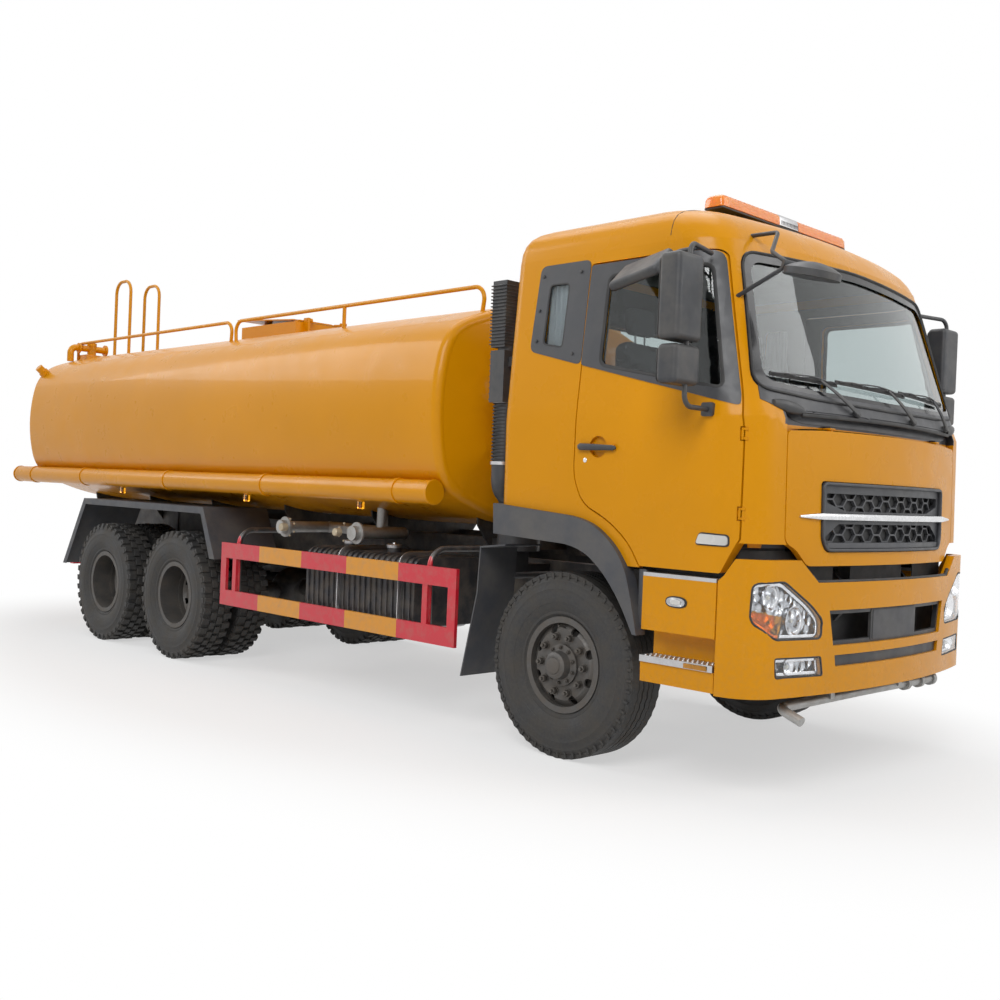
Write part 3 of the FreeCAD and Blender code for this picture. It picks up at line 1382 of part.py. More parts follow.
def air_filter():
    """Intake elbow and filter canister behind the cab, on the frame."""
    y = -1060.0
    elbow = bent_tube([(-610, y, 1694), (-610, y, 1560), (-780, -720, 1400)], 70, 90)
    can = rod((-800, -700, 1150), (-800, -700, 1500), 140)
    arm = box(-840, -760, -700, -rail_outer_y - 0.1, 1000, 1060)
    post = box(-840, -760, -760, -640, 1000, 1150)
    return fuse([elbow, can, arm, post])


def build_all():
    place_wheels()
    save("front_axle", front_axle())
    right_knuckle = knuckle()
    left_knuckle = mirrored(right_knuckle)
    save("knuckle_right", right_knuckle)
    save("knuckle_left", left_knuckle)
    save("tie_rod", tie_rod())
    save("rear_axles", Part.makeCompound([rear_axle(-wheelbase),
                                          rear_axle(-wheelbase - tandem_spacing)]))
    save("suspension", suspension())
    save("chassis_frame", chassis_frame())
    save("engine_block", engine_block())
    save("tank_shell", tank_shell())
    save("manhole_lid", manhole_lid())
    save("tank_subframe", tank_subframe())
    save("hose_tubes", hose_tubes())
    save("top_rails", top_rails())
    save("rear_ladder", rear_ladder())
    save("spray_head", spray_head())
    guard = side_guard()
    left_guard = mirrored(guard)
    save("side_guard_right", guard)
    save("side_guard_left", left_guard)
    save("mudguards", mudguards())
    save("fuel_tank", fuel_tank())
    save("battery_box", battery_box())
    save("water_pipes", water_pipes())
    save("front_spray_bar", front_spray_bar())
    save("rear_bar", rear_bar())
    save("front_bumper", front_bumper())
    save("lamps", lamps())
    save("lower_grille", lower_grille())
    save("step_fenders", step_fenders())
    save("step_treads", step_treads())
    save("cab_shell", cab_shell())
    save("cab_roof", cab_roof())
    save("cab_glass", cab_glass())
    right_door = door()
    left_door = mirrored(right_door)
    save("door_right", right_door)
    save("door_left", left_door)
    right_glass = door_glass()
    left_glass = mirrored(right_glass)
    save("door_glass_right", right_glass)
    save("door_glass_left", left_glass)
    heads = mirror_heads()
    left_mirror = mirrored(door_mirrors(heads))
    save("mirror_right", door_mirrors(heads + kerb_mirror()))
    save("mirror_left", left_mirror)
    save("front_mirror", front_mirror())
    save("front_flap", front_flap())
    save("flap_grille", flap_grille())
    save("arch_trims", arch_trims())
    save("wipers", wipers())
    save("light_bar", light_bar())
    save("cab_interior", cab_interior())
    save("seats", seats())
    save("air_intake", air_intake())
    save("air_filter", air_filter())


build_all()
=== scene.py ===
import bpy
import bmesh
import math
from mathutils import Matrix, Vector
from mathutils.bvhtree import BVHTree
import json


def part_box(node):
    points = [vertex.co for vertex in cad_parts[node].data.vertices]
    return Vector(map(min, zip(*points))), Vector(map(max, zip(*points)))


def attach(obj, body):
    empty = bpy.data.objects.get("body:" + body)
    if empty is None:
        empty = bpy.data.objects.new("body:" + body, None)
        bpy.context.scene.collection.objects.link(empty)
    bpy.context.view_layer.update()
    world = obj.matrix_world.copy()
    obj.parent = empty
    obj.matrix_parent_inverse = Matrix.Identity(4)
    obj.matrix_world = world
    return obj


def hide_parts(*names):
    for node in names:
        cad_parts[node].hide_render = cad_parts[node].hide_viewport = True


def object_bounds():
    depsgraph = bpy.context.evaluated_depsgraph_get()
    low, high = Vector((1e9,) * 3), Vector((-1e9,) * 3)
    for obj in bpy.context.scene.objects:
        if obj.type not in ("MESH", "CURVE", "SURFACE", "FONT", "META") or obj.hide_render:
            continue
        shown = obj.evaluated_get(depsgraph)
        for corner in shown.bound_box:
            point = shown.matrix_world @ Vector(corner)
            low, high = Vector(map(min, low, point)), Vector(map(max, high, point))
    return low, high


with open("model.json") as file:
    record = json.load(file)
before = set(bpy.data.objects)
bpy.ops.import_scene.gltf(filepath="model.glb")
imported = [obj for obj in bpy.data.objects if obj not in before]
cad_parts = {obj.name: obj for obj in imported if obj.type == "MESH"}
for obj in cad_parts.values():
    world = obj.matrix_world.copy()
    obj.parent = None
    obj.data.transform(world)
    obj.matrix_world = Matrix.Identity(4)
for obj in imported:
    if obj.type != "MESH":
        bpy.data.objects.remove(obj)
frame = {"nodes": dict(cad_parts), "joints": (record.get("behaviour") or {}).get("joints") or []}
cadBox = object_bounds()
nodes = frame["nodes"]
joints = {j["name"]: j for j in frame["joints"]}
axleX = Vector(joints["front_right_roll"]["pos_m"]).x   # middle of the right front wheel
print("frame loaded, front axle at x =", round(axleX, 4))

front = Vector((1, 0, 0))
rightSide = Vector((0, -1, 0))
upwards = Vector((0, 0, 1))
mirrorY = Matrix.Diagonal((1.0, -1.0, 1.0, 1.0))
finishes = {}


def ax(x):
    # places along the truck are counted from the front axle, as in the part's source
    return axleX + x


def shares(count):
    # count + 1 even steps from 0 to 1
    return [k / count for k in range(count + 1)]


def along(low, high, count):
    # count + 1 even places from low to high
    return [low + (high - low) * t for t in shares(count)]


def turns(count):
    # the angles of count points round a circle
    return [2 * math.pi * k / count for k in range(count)]


# mesh helpers; a finish is the key of a material in finishes
def makeObject(name, mesh):
    obj = bpy.data.objects.new(name, mesh)
    bpy.context.scene.collection.objects.link(obj)
    return obj


def fromBmesh(name, bm, finish=None, smooth=None):
    mesh = bpy.data.meshes.new(name)
    if smooth is not None:
        limit = math.radians(smooth)
        bm.normal_update()
        for face in bm.faces:
            face.smooth = True
        for edge in bm.edges:
            edge.smooth = edge.is_manifold and edge.calc_face_angle(0.0) < limit
    bm.to_mesh(mesh)
    bm.free()
    if finish:
        mesh.materials.append(finishes[finish])
    return makeObject(name, mesh)


def applied(obj):
    # keeps the evaluated object as its own plain mesh
    graph = bpy.context.evaluated_depsgraph_get()
    graph.update()
    mesh = bpy.data.meshes.new_from_object(obj.evaluated_get(graph),
                                           preserve_all_data_layers=True, depsgraph=graph)
    mesh.name = obj.name
    obj.modifiers.clear()
    obj.data = mesh
    return obj


def joined(name, parts):
    # one object from several, materials kept
    bm = bmesh.new()
    materials = []
    for part in parts:
        start = len(bm.faces)
        bm.from_mesh(part.data)
        bm.faces.ensure_lookup_table()
        materials += [m for m in part.data.materials if m not in materials]
        table = [materials.index(m) for m in part.data.materials]
        for face in bm.faces[start:]:
            face.material_index = table[face.material_index] if table else 0
    obj = fromBmesh(name, bm)
    for material in materials:
        obj.data.materials.append(material)
    for part in parts:
        bpy.data.objects.remove(part)
    return obj


def moved(obj, matrix):
    obj.data.transform(matrix)
    if matrix.determinant() < 0:
        obj.data.flip_normals()
    return obj


def copyOf(obj, name, matrix):
    return moved(makeObject(name, obj.data.copy()), matrix)


def place(obj, body, replaces=()):
    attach(obj, body)
    if replaces:
        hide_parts(*replaces)


def pair(obj, body):
    # the right-hand piece and its mirror image; "door" stands for the door of each side
    bodies = ("right_door", "left_door") if body == "door" else (body, body)
    left = copyOf(obj, obj.name + "Left", mirrorY)
    obj.name += "Right"
    place(obj, bodies[0])
    place(left, bodies[1])


def outwardFaces(bm):
    bmesh.ops.recalc_face_normals(bm, faces=bm.faces)


def bevelled(bm, width, segments):
    outwardFaces(bm)
    if width > 0:
        bmesh.ops.bevel(bm, geom=bm.edges, offset=width, segments=segments, profile=0.5,
                        affect="EDGES", clamp_overlap=True)
    return bm


def box(name, lo, hi, finish, bevel=0.0, segments=2):
    bm = bmesh.new()
    bmesh.ops.create_cube(bm, size=1.0)
    for v in bm.verts:
        v.co = Vector([lo[i] + (v.co[i] + 0.5) * (hi[i] - lo[i]) for i in range(3)])
    return fromBmesh(name, bevelled(bm, bevel, segments), finish, 40)


def prism(name, points, depth, toWorld, finish, bevel=0.0):
    # flat outline (u, v) with a depth along w, both ways; toWorld gives the place of (u, v, w)
    bm = bmesh.new()
    outer = [bm.verts.new(toWorld(u, v, depth[1])) for u, v in points]
    inner = [bm.verts.new(toWorld(u, v, depth[0])) for u, v in points]
    bm.faces.new(outer)
    bm.faces.new(list(reversed(inner)))
    for n in range(len(points)):
        m = (n + 1) % len(points)
        bm.faces.new((outer[n], inner[n], inner[m], outer[m]))
    return fromBmesh(name, bevelled(bm, bevel, 1), finish, 35)


def revolved(name, profile, origin, axis, steps, finish, closed=False, smooth=35):
    # profile of (distance along the axis, radius); a closed profile makes a ring-shaped solid
    axis = Vector(axis).normalized()
    side = axis.orthogonal().normalized()
    other = axis.cross(side)
    bm = bmesh.new()
    rings = []
    for a in turns(steps):
        out = side * math.cos(a) + other * math.sin(a)
        rings.append([bm.verts.new(Vector(origin) + axis * d + out * r) for d, r in profile])
    count = len(profile)
    for here, there in zip(rings, rings[1:] + rings[:1]):
        for k in range(count if closed else count - 1):
            m = (k + 1) % count
            bm.faces.new((here[k], there[k], there[m], here[m]))
    bmesh.ops.remove_doubles(bm, verts=bm.verts, dist=1e-6)
    bmesh.ops.dissolve_degenerate(bm, dist=1e-6, edges=bm.edges)
    outwardFaces(bm)
    return fromBmesh(name, bm, finish, smooth)


def lofted(name, rings, finish, smooth=40):
    # a closed body through rings of as many points each
    bm = bmesh.new()
    made = [[bm.verts.new(p) for p in ring] for ring in rings]
    count = len(made[0])
    for here, there in zip(made, made[1:]):
        for k in range(count):
            m = (k + 1) % count
            bm.faces.new((here[k], here[m], there[m], there[k]))
    bm.faces.new(list(reversed(made[0])))
    bm.faces.new(made[-1])
    outwardFaces(bm)
    return fromBmesh(name, bm, finish, smooth)


def bentCorner(before, p, after, radius, steps, share):
    # points of the curve that rounds the corner at p, within a share of the spans beside it
    a, b = before - p, after - p
    reach = min(radius, a.length * share, b.length * share)
    start = p + a.normalized() * reach
    stop = p + b.normalized() * reach
    return [start * (1 - t) ** 2 + p * 2 * t * (1 - t) + stop * t * t for t in shares(steps)]


def tube(name, points, radius, finish, bend=0.0):
    # round bar of twelve sides through points, with rounded bends
    points = [Vector(p) for p in points]
    path = points[:1]
    for before, p, after in zip(points, points[1:], points[2:]):
        path += bentCorner(before, p, after, bend, 6, 0.49) if bend > 0 else [p]
    path.append(points[-1])
    rings = []
    up = None
    for n, p in enumerate(path):
        way = (path[min(n + 1, len(path) - 1)] - path[max(n - 1, 0)]).normalized()
        up = way.orthogonal() if up is None else up - way * up.dot(way)
        up.normalize()
        across = way.cross(up)
        rings.append([p + (up * math.cos(a) + across * math.sin(a)) * radius for a in turns(12)])
    return lofted(name, rings, finish, 50)


def squared(value, power):
    return math.copysign(abs(value) ** power, value)


def ovalOutline(u, v, a, b, count, power):
    # flat points round (u, v); a power under 1 squares the oval off
    return [(u + a * squared(math.cos(t), power), v + b * squared(math.sin(t), power))
            for t in turns(count)]


def oval(centre, a, b, count=12, power=1.0):
    # the same in space, with the half-axes a and b
    return [Vector(centre) + Vector(a) * c + Vector(b) * s
            for c, s in ovalOutline(0, 0, 1, 1, count, power)]


def ribbon(name, path, low, high, thick, finish):
    # an upright strip along a path of (x, y)
    rings = []
    for n, (x, y) in enumerate(path):
        way = Vector(path[min(n + 1, len(path) - 1)]) - Vector(path[max(n - 1, 0)])
        way.normalize()
        inX, inY = x - way.y * thick, y + way.x * thick
        rings.append([(x, y, low), (x, y, high), (inX, inY, high), (inX, inY, low)])
    return lofted(name, rings, finish, 30)


# flat outlines
def onTruck(points):
    # outline of (x from the front axle, z) to the truck's own x
    return [(ax(x), z) for x, z in points]


def bothHalves(points):
    # completes an outline given for y > 0, from low to high or from the middle outwards
    return list(points) + [(-u, v) for u, v in reversed(points) if u != 0]


def square(u0, u1, v0, v1):
    return [(u0, v0), (u1, v0), (u1, v1), (u0, v1)]


def roundedOutline(points, radius, steps=5):
    points = [Vector(p) for p in points]
    result = []
    for n, p in enumerate(points):
        after = points[(n + 1) % len(points)]
        result += [(q.x, q.y) for q in bentCorner(points[n - 1], p, after, radius, steps, 0.45)]
    return result


def grownOutline(points, grow):
    # moves each edge outwards by grow
    spans = list(zip(points, points[1:] + points[:1]))
    if sum(u * v2 - u2 * v for (u, v), (u2, v2) in spans) < 0:
        points = points[::-1]
    result = []
    for n, p in enumerate(points):
        p = Vector(p)
        a = (p - Vector(points[n - 1])).normalized()
        b = (Vector(points[(n + 1) % len(points)]) - p).normalized()
        half = Vector((a.y, -a.x)) + Vector((b.y, -b.x))
        half = half / max(half.length_squared / 2, 0.3)
        result.append((p.x + half.x * grow, p.y + half.y * grow))
    return result


def shaped(points, grow, radius, steps=5):
    return roundedOutline(grownOutline(points, grow) if grow else points, radius, steps)


def evenly(points, step, rounding=0.5):
    # adds points so that the spans of a closed outline are about step long
    result = []
    for a, b in zip(points, points[1:] + points[:1]):
        a, b = Vector(a), Vector(b)
        parts = max(1, int((b - a).length / step + rounding))
        result += [tuple(a.lerp(b, k / parts)) for k in range(parts)]
    return result


# skins to lay pieces on
def skinOf(*names):
    bm = bmesh.new()
    for name in names:
        bm.from_mesh(nodes[name].data)
    tree = BVHTree.FromBMesh(bm)
    bm.free()
    return tree


def outside(facing, u, w):
    # a start for a ray from outside: (u, w) is (y, z) in front and (x, z) on the right side
    if facing == front:
        return Vector((cadBox[1][0] + 3, u, w))
    return Vector((u, -3, w))


def firstHit(skins, facing, u, w):
    # where a ray from outside meets the skins; a skin given as (skin, raise) is met earlier by
    # that much, as for glass in its recess
    start, best = outside(facing, u, w), None
    for skin in skins:
        skin, extra = skin if isinstance(skin, tuple) else (skin, 0.0)
        hit, *_, distance = skin.ray_cast(start, -facing)
        if hit is not None and (best is None or distance - extra < best[1]):
            best = (hit + facing * extra, distance - extra)
    return best[0] if best else None


def flatSheet(outline, holes, step):
    # triangulated flat sheet in (u, w), cut by a grid so that it can follow a curved skin
    bm = bmesh.new()
    edges = []
    for loop in [outline] + list(holes):
        verts = [bm.verts.new((u, w, 0)) for u, w in loop]
        edges += [bm.edges.new(ends) for ends in zip(verts, verts[1:] + verts[:1])]
    bmesh.ops.triangle_fill(bm, use_beauty=True, use_dissolve=False, edges=edges)
    for values, normal in zip(zip(*outline), (Vector((1, 0, 0)), Vector((0, 1, 0)))):
        low, high = min(values), max(values)
        count = int((high - low) / step)
        for n in range(1, count + 1):
            at = normal * (low + (high - low) * n / (count + 1))
            bmesh.ops.bisect_plane(bm, geom=bm.verts[:] + bm.edges[:] + bm.faces[:],
                                   plane_co=at, plane_no=normal)
    return bm


def backed(name, bm, depth, facing, finish):
    # turns a sheet to face that way and gives it a thickness behind
    outwardFaces(bm)
    if sum(f.normal.dot(facing) for f in bm.faces) < 0:
        bmesh.ops.reverse_faces(bm, faces=bm.faces)
    for item in bmesh.ops.extrude_face_region(bm, geom=bm.faces[:])["geom"]:
        if isinstance(item, bmesh.types.BMVert):
            item.co -= facing * depth
    outwardFaces(bm)
    return fromBmesh(name, bm, finish, 30)


def skinPanel(name, outline, skins, facing, finish, lift, depth, step, holes=()):
    # a sheet laid on the skin that is met first from outside; a point that falls through a gap
    # takes the depth of the points round it
    deepest = 0.42
    bm = flatSheet(outline, holes, step)
    starts, depths = {}, {}
    for v in bm.verts:
        starts[v] = outside(facing, v.co.x, v.co.y)
        hit = firstHit(skins, facing, v.co.x, v.co.y)
        if hit:
            depths[v] = (starts[v] - hit).dot(facing) - lift
    nearest = min(depths.values())
    depths = {v: d for v, d in depths.items() if d < nearest + deepest}
    for _ in range(12):
        filled = {}
        for v in [v for v in bm.verts if v not in depths]:
            near = [depths[e.other_vert(v)] for e in v.link_edges if e.other_vert(v) in depths]
            if near:
                filled[v] = sum(near) / len(near)
        depths.update(filled)
    for v, depthHere in depths.items():
        v.co = starts[v] - facing * depthHere
    bmesh.ops.delete(bm, geom=[v for v in bm.verts if v not in depths], context="VERTS")
    return backed(name, bm, depth, facing, finish)


def skinLine(points, skins, facing, lift, step):
    # the points of a closed outline, laid on the skin
    hits = [firstHit(skins, facing, u, w) for u, w in evenly(points, step, 0.0)]
    return [hit + facing * lift for hit in hits if hit]


# node trees
def fill(tree, node, inputs):
    # sets each input to a value, or links it to another node's output
    for key, value in inputs.items():
        socket = node.inputs[key]
        if isinstance(value, bpy.types.NodeSocket):
            tree.links.new(value, socket)
        elif value is not None:
            socket.default_value = tuple(value) + (1.0,) if socket.type == "RGBA" else value


def add(tree, kind, inputs={}, out=0, **settings):
    # a node with its settings and inputs; gives one of its outputs
    node = tree.nodes.new(kind)
    for key, value in settings.items():
        setattr(node, key, value)
    fill(tree, node, inputs)
    return node.outputs[out]


def maths(tree, operation, a, b=None):
    return add(tree, "ShaderNodeMath", {0: a, 1: b}, operation=operation)


def startTree(name, **inputs):
    # a geometry tree with inputs given as name=(kind, default)
    tree = bpy.data.node_groups.new(name, "GeometryNodeTree")
    sockets = tree.interface
    sockets.new_socket(name="Geometry", in_out="INPUT", socket_type="NodeSocketGeometry")
    for label, (kind, default) in inputs.items():
        socket = sockets.new_socket(name=label, in_out="INPUT", socket_type="NodeSocket" + kind)
        if default is not None:
            socket.default_value = default
    sockets.new_socket(name="Geometry", in_out="OUTPUT", socket_type="NodeSocketGeometry")
    return tree, tree.nodes.new("NodeGroupInput").outputs


def endTree(tree, geometry, material=None):
    # a material, where there is one, goes on after the instances are made real
    if material is not None:
        geometry = add(tree, "GeometryNodeRealizeInstances", {"Geometry": geometry})
        geometry = add(tree, "GeometryNodeSetMaterial",
                       {"Geometry": geometry, "Material": material})
    fill(tree, tree.nodes.new("NodeGroupOutput"), {"Geometry": geometry})
    return tree


def ringTree():
    # copies of a piece round a wheel's axis; the piece is drawn with X outwards from the
    # centre and Z along the axis, away from the truck on its right side
    tree, given = startTree("aroundAxis", count=("Int", 8), radius=("Float", 0.2),
                            turn=("Float", 0.0), centre=("Vector", (0, 0, 0)),
                            material=("Material", None))
    circle = add(tree, "GeometryNodeMeshCircle",
                 {"Vertices": given["count"], "Radius": given["radius"]})
    facing = add(tree, "FunctionNodeAlignRotationToVector",
                 {"Vector": add(tree, "GeometryNodeInputPosition")}, axis="X", pivot_axis="Z")
    copies = add(tree, "GeometryNodeInstanceOnPoints",
                 {"Points": circle, "Instance": given["Geometry"], "Rotation": facing})
    spun = add(tree, "GeometryNodeTransform",
               {"Geometry": copies,
                "Rotation": add(tree, "ShaderNodeCombineXYZ", {"Z": given["turn"]})})
    stood = add(tree, "GeometryNodeTransform",
                {"Geometry": spun, "Rotation": (math.pi / 2, 0, 0),
                 "Translation": given["centre"]})
    return endTree(tree, stood, given["material"])


def gridTree():
    # copies of a piece in columns and rows; every second row is shifted by stagger
    tree, given = startTree("inRows", columns=("Int", 4), rows=("Int", 1),
                            columnStep=("Vector", (0.1, 0, 0)), rowStep=("Vector", (0, 0, 0)),
                            stagger=("Vector", (0, 0, 0)), material=("Material", None))
    columns = given["columns"]
    line = add(tree, "GeometryNodeMeshLine",
               {"Count": maths(tree, "MULTIPLY", columns, given["rows"]), "Offset": (0, 0, 0)})
    middle = maths(tree, "ADD", add(tree, "GeometryNodeInputIndex"), 0.5)
    column = maths(tree, "SUBTRACT", maths(tree, "MODULO", middle, columns), 0.5)
    row = maths(tree, "FLOOR", maths(tree, "DIVIDE", middle, columns))
    spot = None
    for factor, step in ((column, "columnStep"), (row, "rowStep"),
                         (maths(tree, "MODULO", row, 2.0), "stagger")):
        part = add(tree, "ShaderNodeVectorMath", {0: given[step], "Scale": factor},
                   operation="SCALE")
        spot = part if spot is None else add(tree, "ShaderNodeVectorMath", {0: spot, 1: part},
                                             operation="ADD")
    points = add(tree, "GeometryNodeSetPosition", {"Geometry": line, "Position": spot})
    copies = add(tree, "GeometryNodeInstanceOnPoints",
                 {"Points": points, "Instance": given["Geometry"]})
    return endTree(tree, copies, given["material"])


def pathTree():
    # a flat strip with eased corners along a chain of edges
    tree, given = startTree("alongPath", width=("Float", 0.01), height=("Float", 0.01),
                            material=("Material", None))
    curve = add(tree, "GeometryNodeMeshToCurve", {"Mesh": given["Geometry"]})
    shape = add(tree, "GeometryNodeCurvePrimitiveQuadrilateral",
                {"Width": given["width"], "Height": given["height"]})
    corner = add(tree, "GeometryNodeFilletCurve",
                 {"Curve": shape, "Count": 2, "Limit Radius": True,
                  "Radius": maths(tree, "MULTIPLY", given["height"], 0.3)}, mode="POLY")
    sweep = add(tree, "GeometryNodeCurveToMesh",
                {"Curve": curve, "Profile Curve": corner, "Fill Caps": True})
    return endTree(tree, sweep, given["material"])


def smoothTree():
    # welds a carried-over mesh and smooths it except at its creases
    tree, given = startTree("smoothCad", crease=("Float", 0.5))
    weld = add(tree, "GeometryNodeMergeByDistance",
               {"Geometry": given["Geometry"], "Distance": 0.00002})
    smooth = add(tree, "GeometryNodeSetShadeSmooth", {"Geometry": weld}, domain="FACE")
    above = add(tree, "FunctionNodeCompare",
                {0: add(tree, "GeometryNodeInputMeshEdgeAngle", out="Unsigned Angle"),
                 1: given["crease"]}, "Result", data_type="FLOAT", operation="GREATER_THAN")
    sharp = add(tree, "GeometryNodeSetShadeSmooth",
                {"Geometry": smooth, "Selection": above, "Shade Smooth": False}, domain="EDGE")
    return endTree(tree, sharp)


trees = {"ring": ringTree(), "grid": gridTree(), "path": pathTree(), "smooth": smoothTree()}


def addTree(obj, kind, **values):
    modifier = obj.modifiers.new(kind, "NODES")
    modifier.node_group = trees[kind]
    for item in trees[kind].interface.items_tree:
        if item.name in values:
            modifier[item.identifier] = values[item.name]
    return obj


def arranged(obj, kind, finish, **values):
    # runs a tree on an object and keeps the result as the object's own mesh
    return applied(addTree(obj, kind, material=finishes[finish], **values))


def inLine(obj, finish, count, step):
    # count copies of a piece, each a step further
    return arranged(obj, "grid", finish, columns=count, rows=1, columnStep=step)


def strip(name, points, width, height, finish, closed=True):
    # a strip or seam along points
    mesh = bpy.data.meshes.new(name)
    count = len(points)
    edges = [(n, n + 1) for n in range(count - 1)] + ([(count - 1, 0)] if closed else [])
    mesh.from_pydata([tuple(p) for p in points], edges, [])
    return arranged(makeObject(name, mesh), "path", finish, width=width, height=height)


print("node trees built")


# materials
class Finish:
    # a small builder for one procedural material on object coordinates
    def __init__(self, name):
        self.material = bpy.data.materials.new(name)
        self.material.use_nodes = True
        self.tree = self.material.node_tree
        self.spot = self.add("ShaderNodeTexCoord", out="Object")

    def add(self, kind, inputs={}, out=0, **settings):
        return add(self.tree, kind, inputs, out, **settings)

    def along(self, axisName):
        return self.add("ShaderNodeSeparateXYZ", {0: self.spot}, axisName)

    def noise(self, scale, detail=4.0, roughness=0.5):
        return self.add("ShaderNodeTexNoise", {"Vector": self.spot, "Scale": scale,
                                               "Detail": detail, "Roughness": roughness}, "Fac")

    def spread(self, value, low, high, newLow=0.0, newHigh=1.0):
        return self.add("ShaderNodeMapRange", {"Value": value, "From Min": low, "From Max": high,
                                               "To Min": newLow, "To Max": newHigh}, "Result")

    def mix(self, factor, a, b):
        return self.add("ShaderNodeMix", {0: factor, 6: a, 7: b}, 2, data_type="RGBA")

    def maths(self, operation, a, b=None):
        return maths(self.tree, operation, a, b)

    def above(self, value, limit):
        return self.maths("GREATER_THAN", value, limit)

    def below(self, value, limit):
        return self.maths("LESS_THAN", value, limit)

    def times(self, first, *others):
        for value in others:
            first = self.maths("MULTIPLY", first, value)
        return first

    def bump(self, value, distance):
        return self.add("ShaderNodeBump", {"Height": value, "Distance": distance,
                                           "Strength": 1.0}, "Normal")

    def done(self, colour, roughness, normal=None, **others):
        # the shader's own sockets, given as "Coat Weight" is by coatWeight
        shader = self.tree.nodes["Principled BSDF"]
        fill(self.tree, shader, {"Base Color": colour, "Roughness": roughness, "Normal": normal})
        for socket in shader.inputs:
            words = socket.name.split()
            key = words[0].lower() + "".join(words[1:])
            if key in others:
                fill(self.tree, shader, {socket.name: others[key]})
        return self.material


def shaded(colour, share):
    return tuple(c * share for c in colour)


# the cab's outer skin: rows of (z, x of its middle), half-widths at the waist and top, how much
# the front is bowed, its corner radius, and the depth at which the inside begins
skin = {"rows": ((1.16, 1.443), (2.04, 1.398), (2.90, 1.122)), "wide": (1.240, 1.175),
        "bow": 9.7, "corner": 0.26, "wall": 0.0415, "rear": -0.443,
        "cowl": {"low": 1.932, "high": 2.075, "wide": 0.99, "rear": 1.22}}


def cabInside(f):
    # 1 inside the cab's outer skin and in the cowl's recess below the windscreen
    (sill, sillX), (waist, waistX), (top, topX) = skin["rows"]
    x, y, z = f.along("X"), f.maths("ABSOLUTE", f.along("Y")), f.along("Z")
    face = f.maths("ADD", f.spread(z, waist, top, ax(waistX), ax(topX)),
                   f.spread(z, sill, waist, ax(sillX) - ax(waistX), 0.0))
    face = f.maths("SUBTRACT", face, f.times(y, y, 1.0 / skin["bow"]))
    wide = f.spread(z, waist, top, *skin["wide"])
    past = [f.maths("ADD", f.maths("SUBTRACT", value, limit), skin["corner"])
            for value, limit in ((x, face), (y, wide))]
    squares = [f.times(p, p) for p in (f.maths("MAXIMUM", p, 0.0) for p in past)]
    rounding = f.maths("POWER", f.maths("ADD", *squares), 0.5)
    flat = f.maths("MINIMUM", f.maths("MAXIMUM", *past), 0.0)
    depth = f.maths("SUBTRACT", f.maths("ADD", rounding, flat), skin["corner"])
    inner = f.times(f.below(depth, -skin["wall"]), f.below(z, top), f.above(x, ax(skin["rear"])))
    c = skin["cowl"]
    recess = f.times(f.above(z, c["low"]), f.below(z, c["high"]), f.below(y, c["wide"]),
                     f.above(x, ax(c["rear"])))
    return f.maths("MAXIMUM", inner, recess)


def facingDown(f):
    # 1 where a surface looks down, as the underside of the roof does
    normal = f.add("ShaderNodeTexCoord", out="Normal")
    return f.below(f.add("ShaderNodeSeparateXYZ", {0: normal}, "Z"), -0.3)


def paintFinish(name, colour, dusty, rough=0.28, coat=0.1, lining=None, inside=cabInside):
    f = Finish(name)
    tone = f.mix(f.spread(f.noise(0.9, 3.0), 0.35, 0.65), shaded(colour, 0.93), colour)
    low = f.spread(f.along("Z"), 0.45, 1.5, dusty, 0.0)
    speck = f.spread(f.noise(38.0, 6.0, 0.65), 0.42, 0.75)
    tone = f.mix(f.times(low, speck), tone, (0.30, 0.22, 0.12))
    # inside the mask the lining colour goes on: real trim and the black cowl recess, but chosen
    # dark as painted shade inside the cab and in the gaps into it
    if lining:
        tone = f.mix(inside(f), tone, lining)
    return f.done(tone, f.spread(f.noise(6.0, 5.0), 0.3, 0.7, rough - 0.05, rough + 0.09),
                  f.bump(f.noise(420.0, 2.0), 0.00012), coatWeight=coat, coatRoughness=0.06,
                  specularIORLevel=0.16)


def metalFinish(name, colour, rough, metallic, grain, dust, dustColour=(0.2, 0.17, 0.13)):
    f = Finish(name)
    speck = f.spread(f.noise(9.0, 6.0, 0.6), 0.42, 0.7)
    fine = f.noise(grain, 3.0)
    tone = f.mix(f.spread(fine, 0.3, 0.7), shaded(colour, 0.85), colour)
    return f.done(f.mix(f.times(speck, dust), tone, dustColour),
                  f.spread(speck, 0.0, 1.0, rough, min(1.0, rough + 0.25)),
                  f.bump(fine, 0.0002), metallic=metallic)


def plasticFinish(name, colour, rough, grain, dust, dustColour=(0.16, 0.145, 0.12)):
    f = Finish(name)
    speck = f.spread(f.noise(5.0, 7.0, 0.62), 0.42, 0.72)
    tone = f.mix(f.spread(f.noise(2.0), 0.3, 0.7), shaded(colour, 0.8), colour)
    return f.done(f.mix(f.times(speck, dust), tone, dustColour),
                  f.spread(f.noise(14.0, 4.0), 0.3, 0.7, rough - 0.06, rough + 0.1),
                  f.bump(f.noise(grain, 2.0), 0.00015))


def glassFinish(name, tint, rough=0.0):
    f = Finish(name)
    return f.done(tint, f.spread(f.noise(3.0, 5.0), 0.55, 0.8, rough, rough + 0.04),
                  transmissionWeight=1.0, ior=1.45)


def tyreFinish(name):
    f = Finish(name)
    dirt = f.spread(f.noise(7.0, 8.0, 0.65), 0.40, 0.68)
    fine = f.spread(f.noise(60.0, 5.0, 0.6), 0.35, 0.7)
    base = f.mix(fine, (0.020, 0.020, 0.021), (0.034, 0.033, 0.032))
    return f.done(f.mix(f.times(dirt, 0.55), base, (0.085, 0.075, 0.062)),
                  f.spread(dirt, 0.0, 1.0, 0.62, 0.88), f.bump(f.noise(260.0, 3.0), 0.0003))


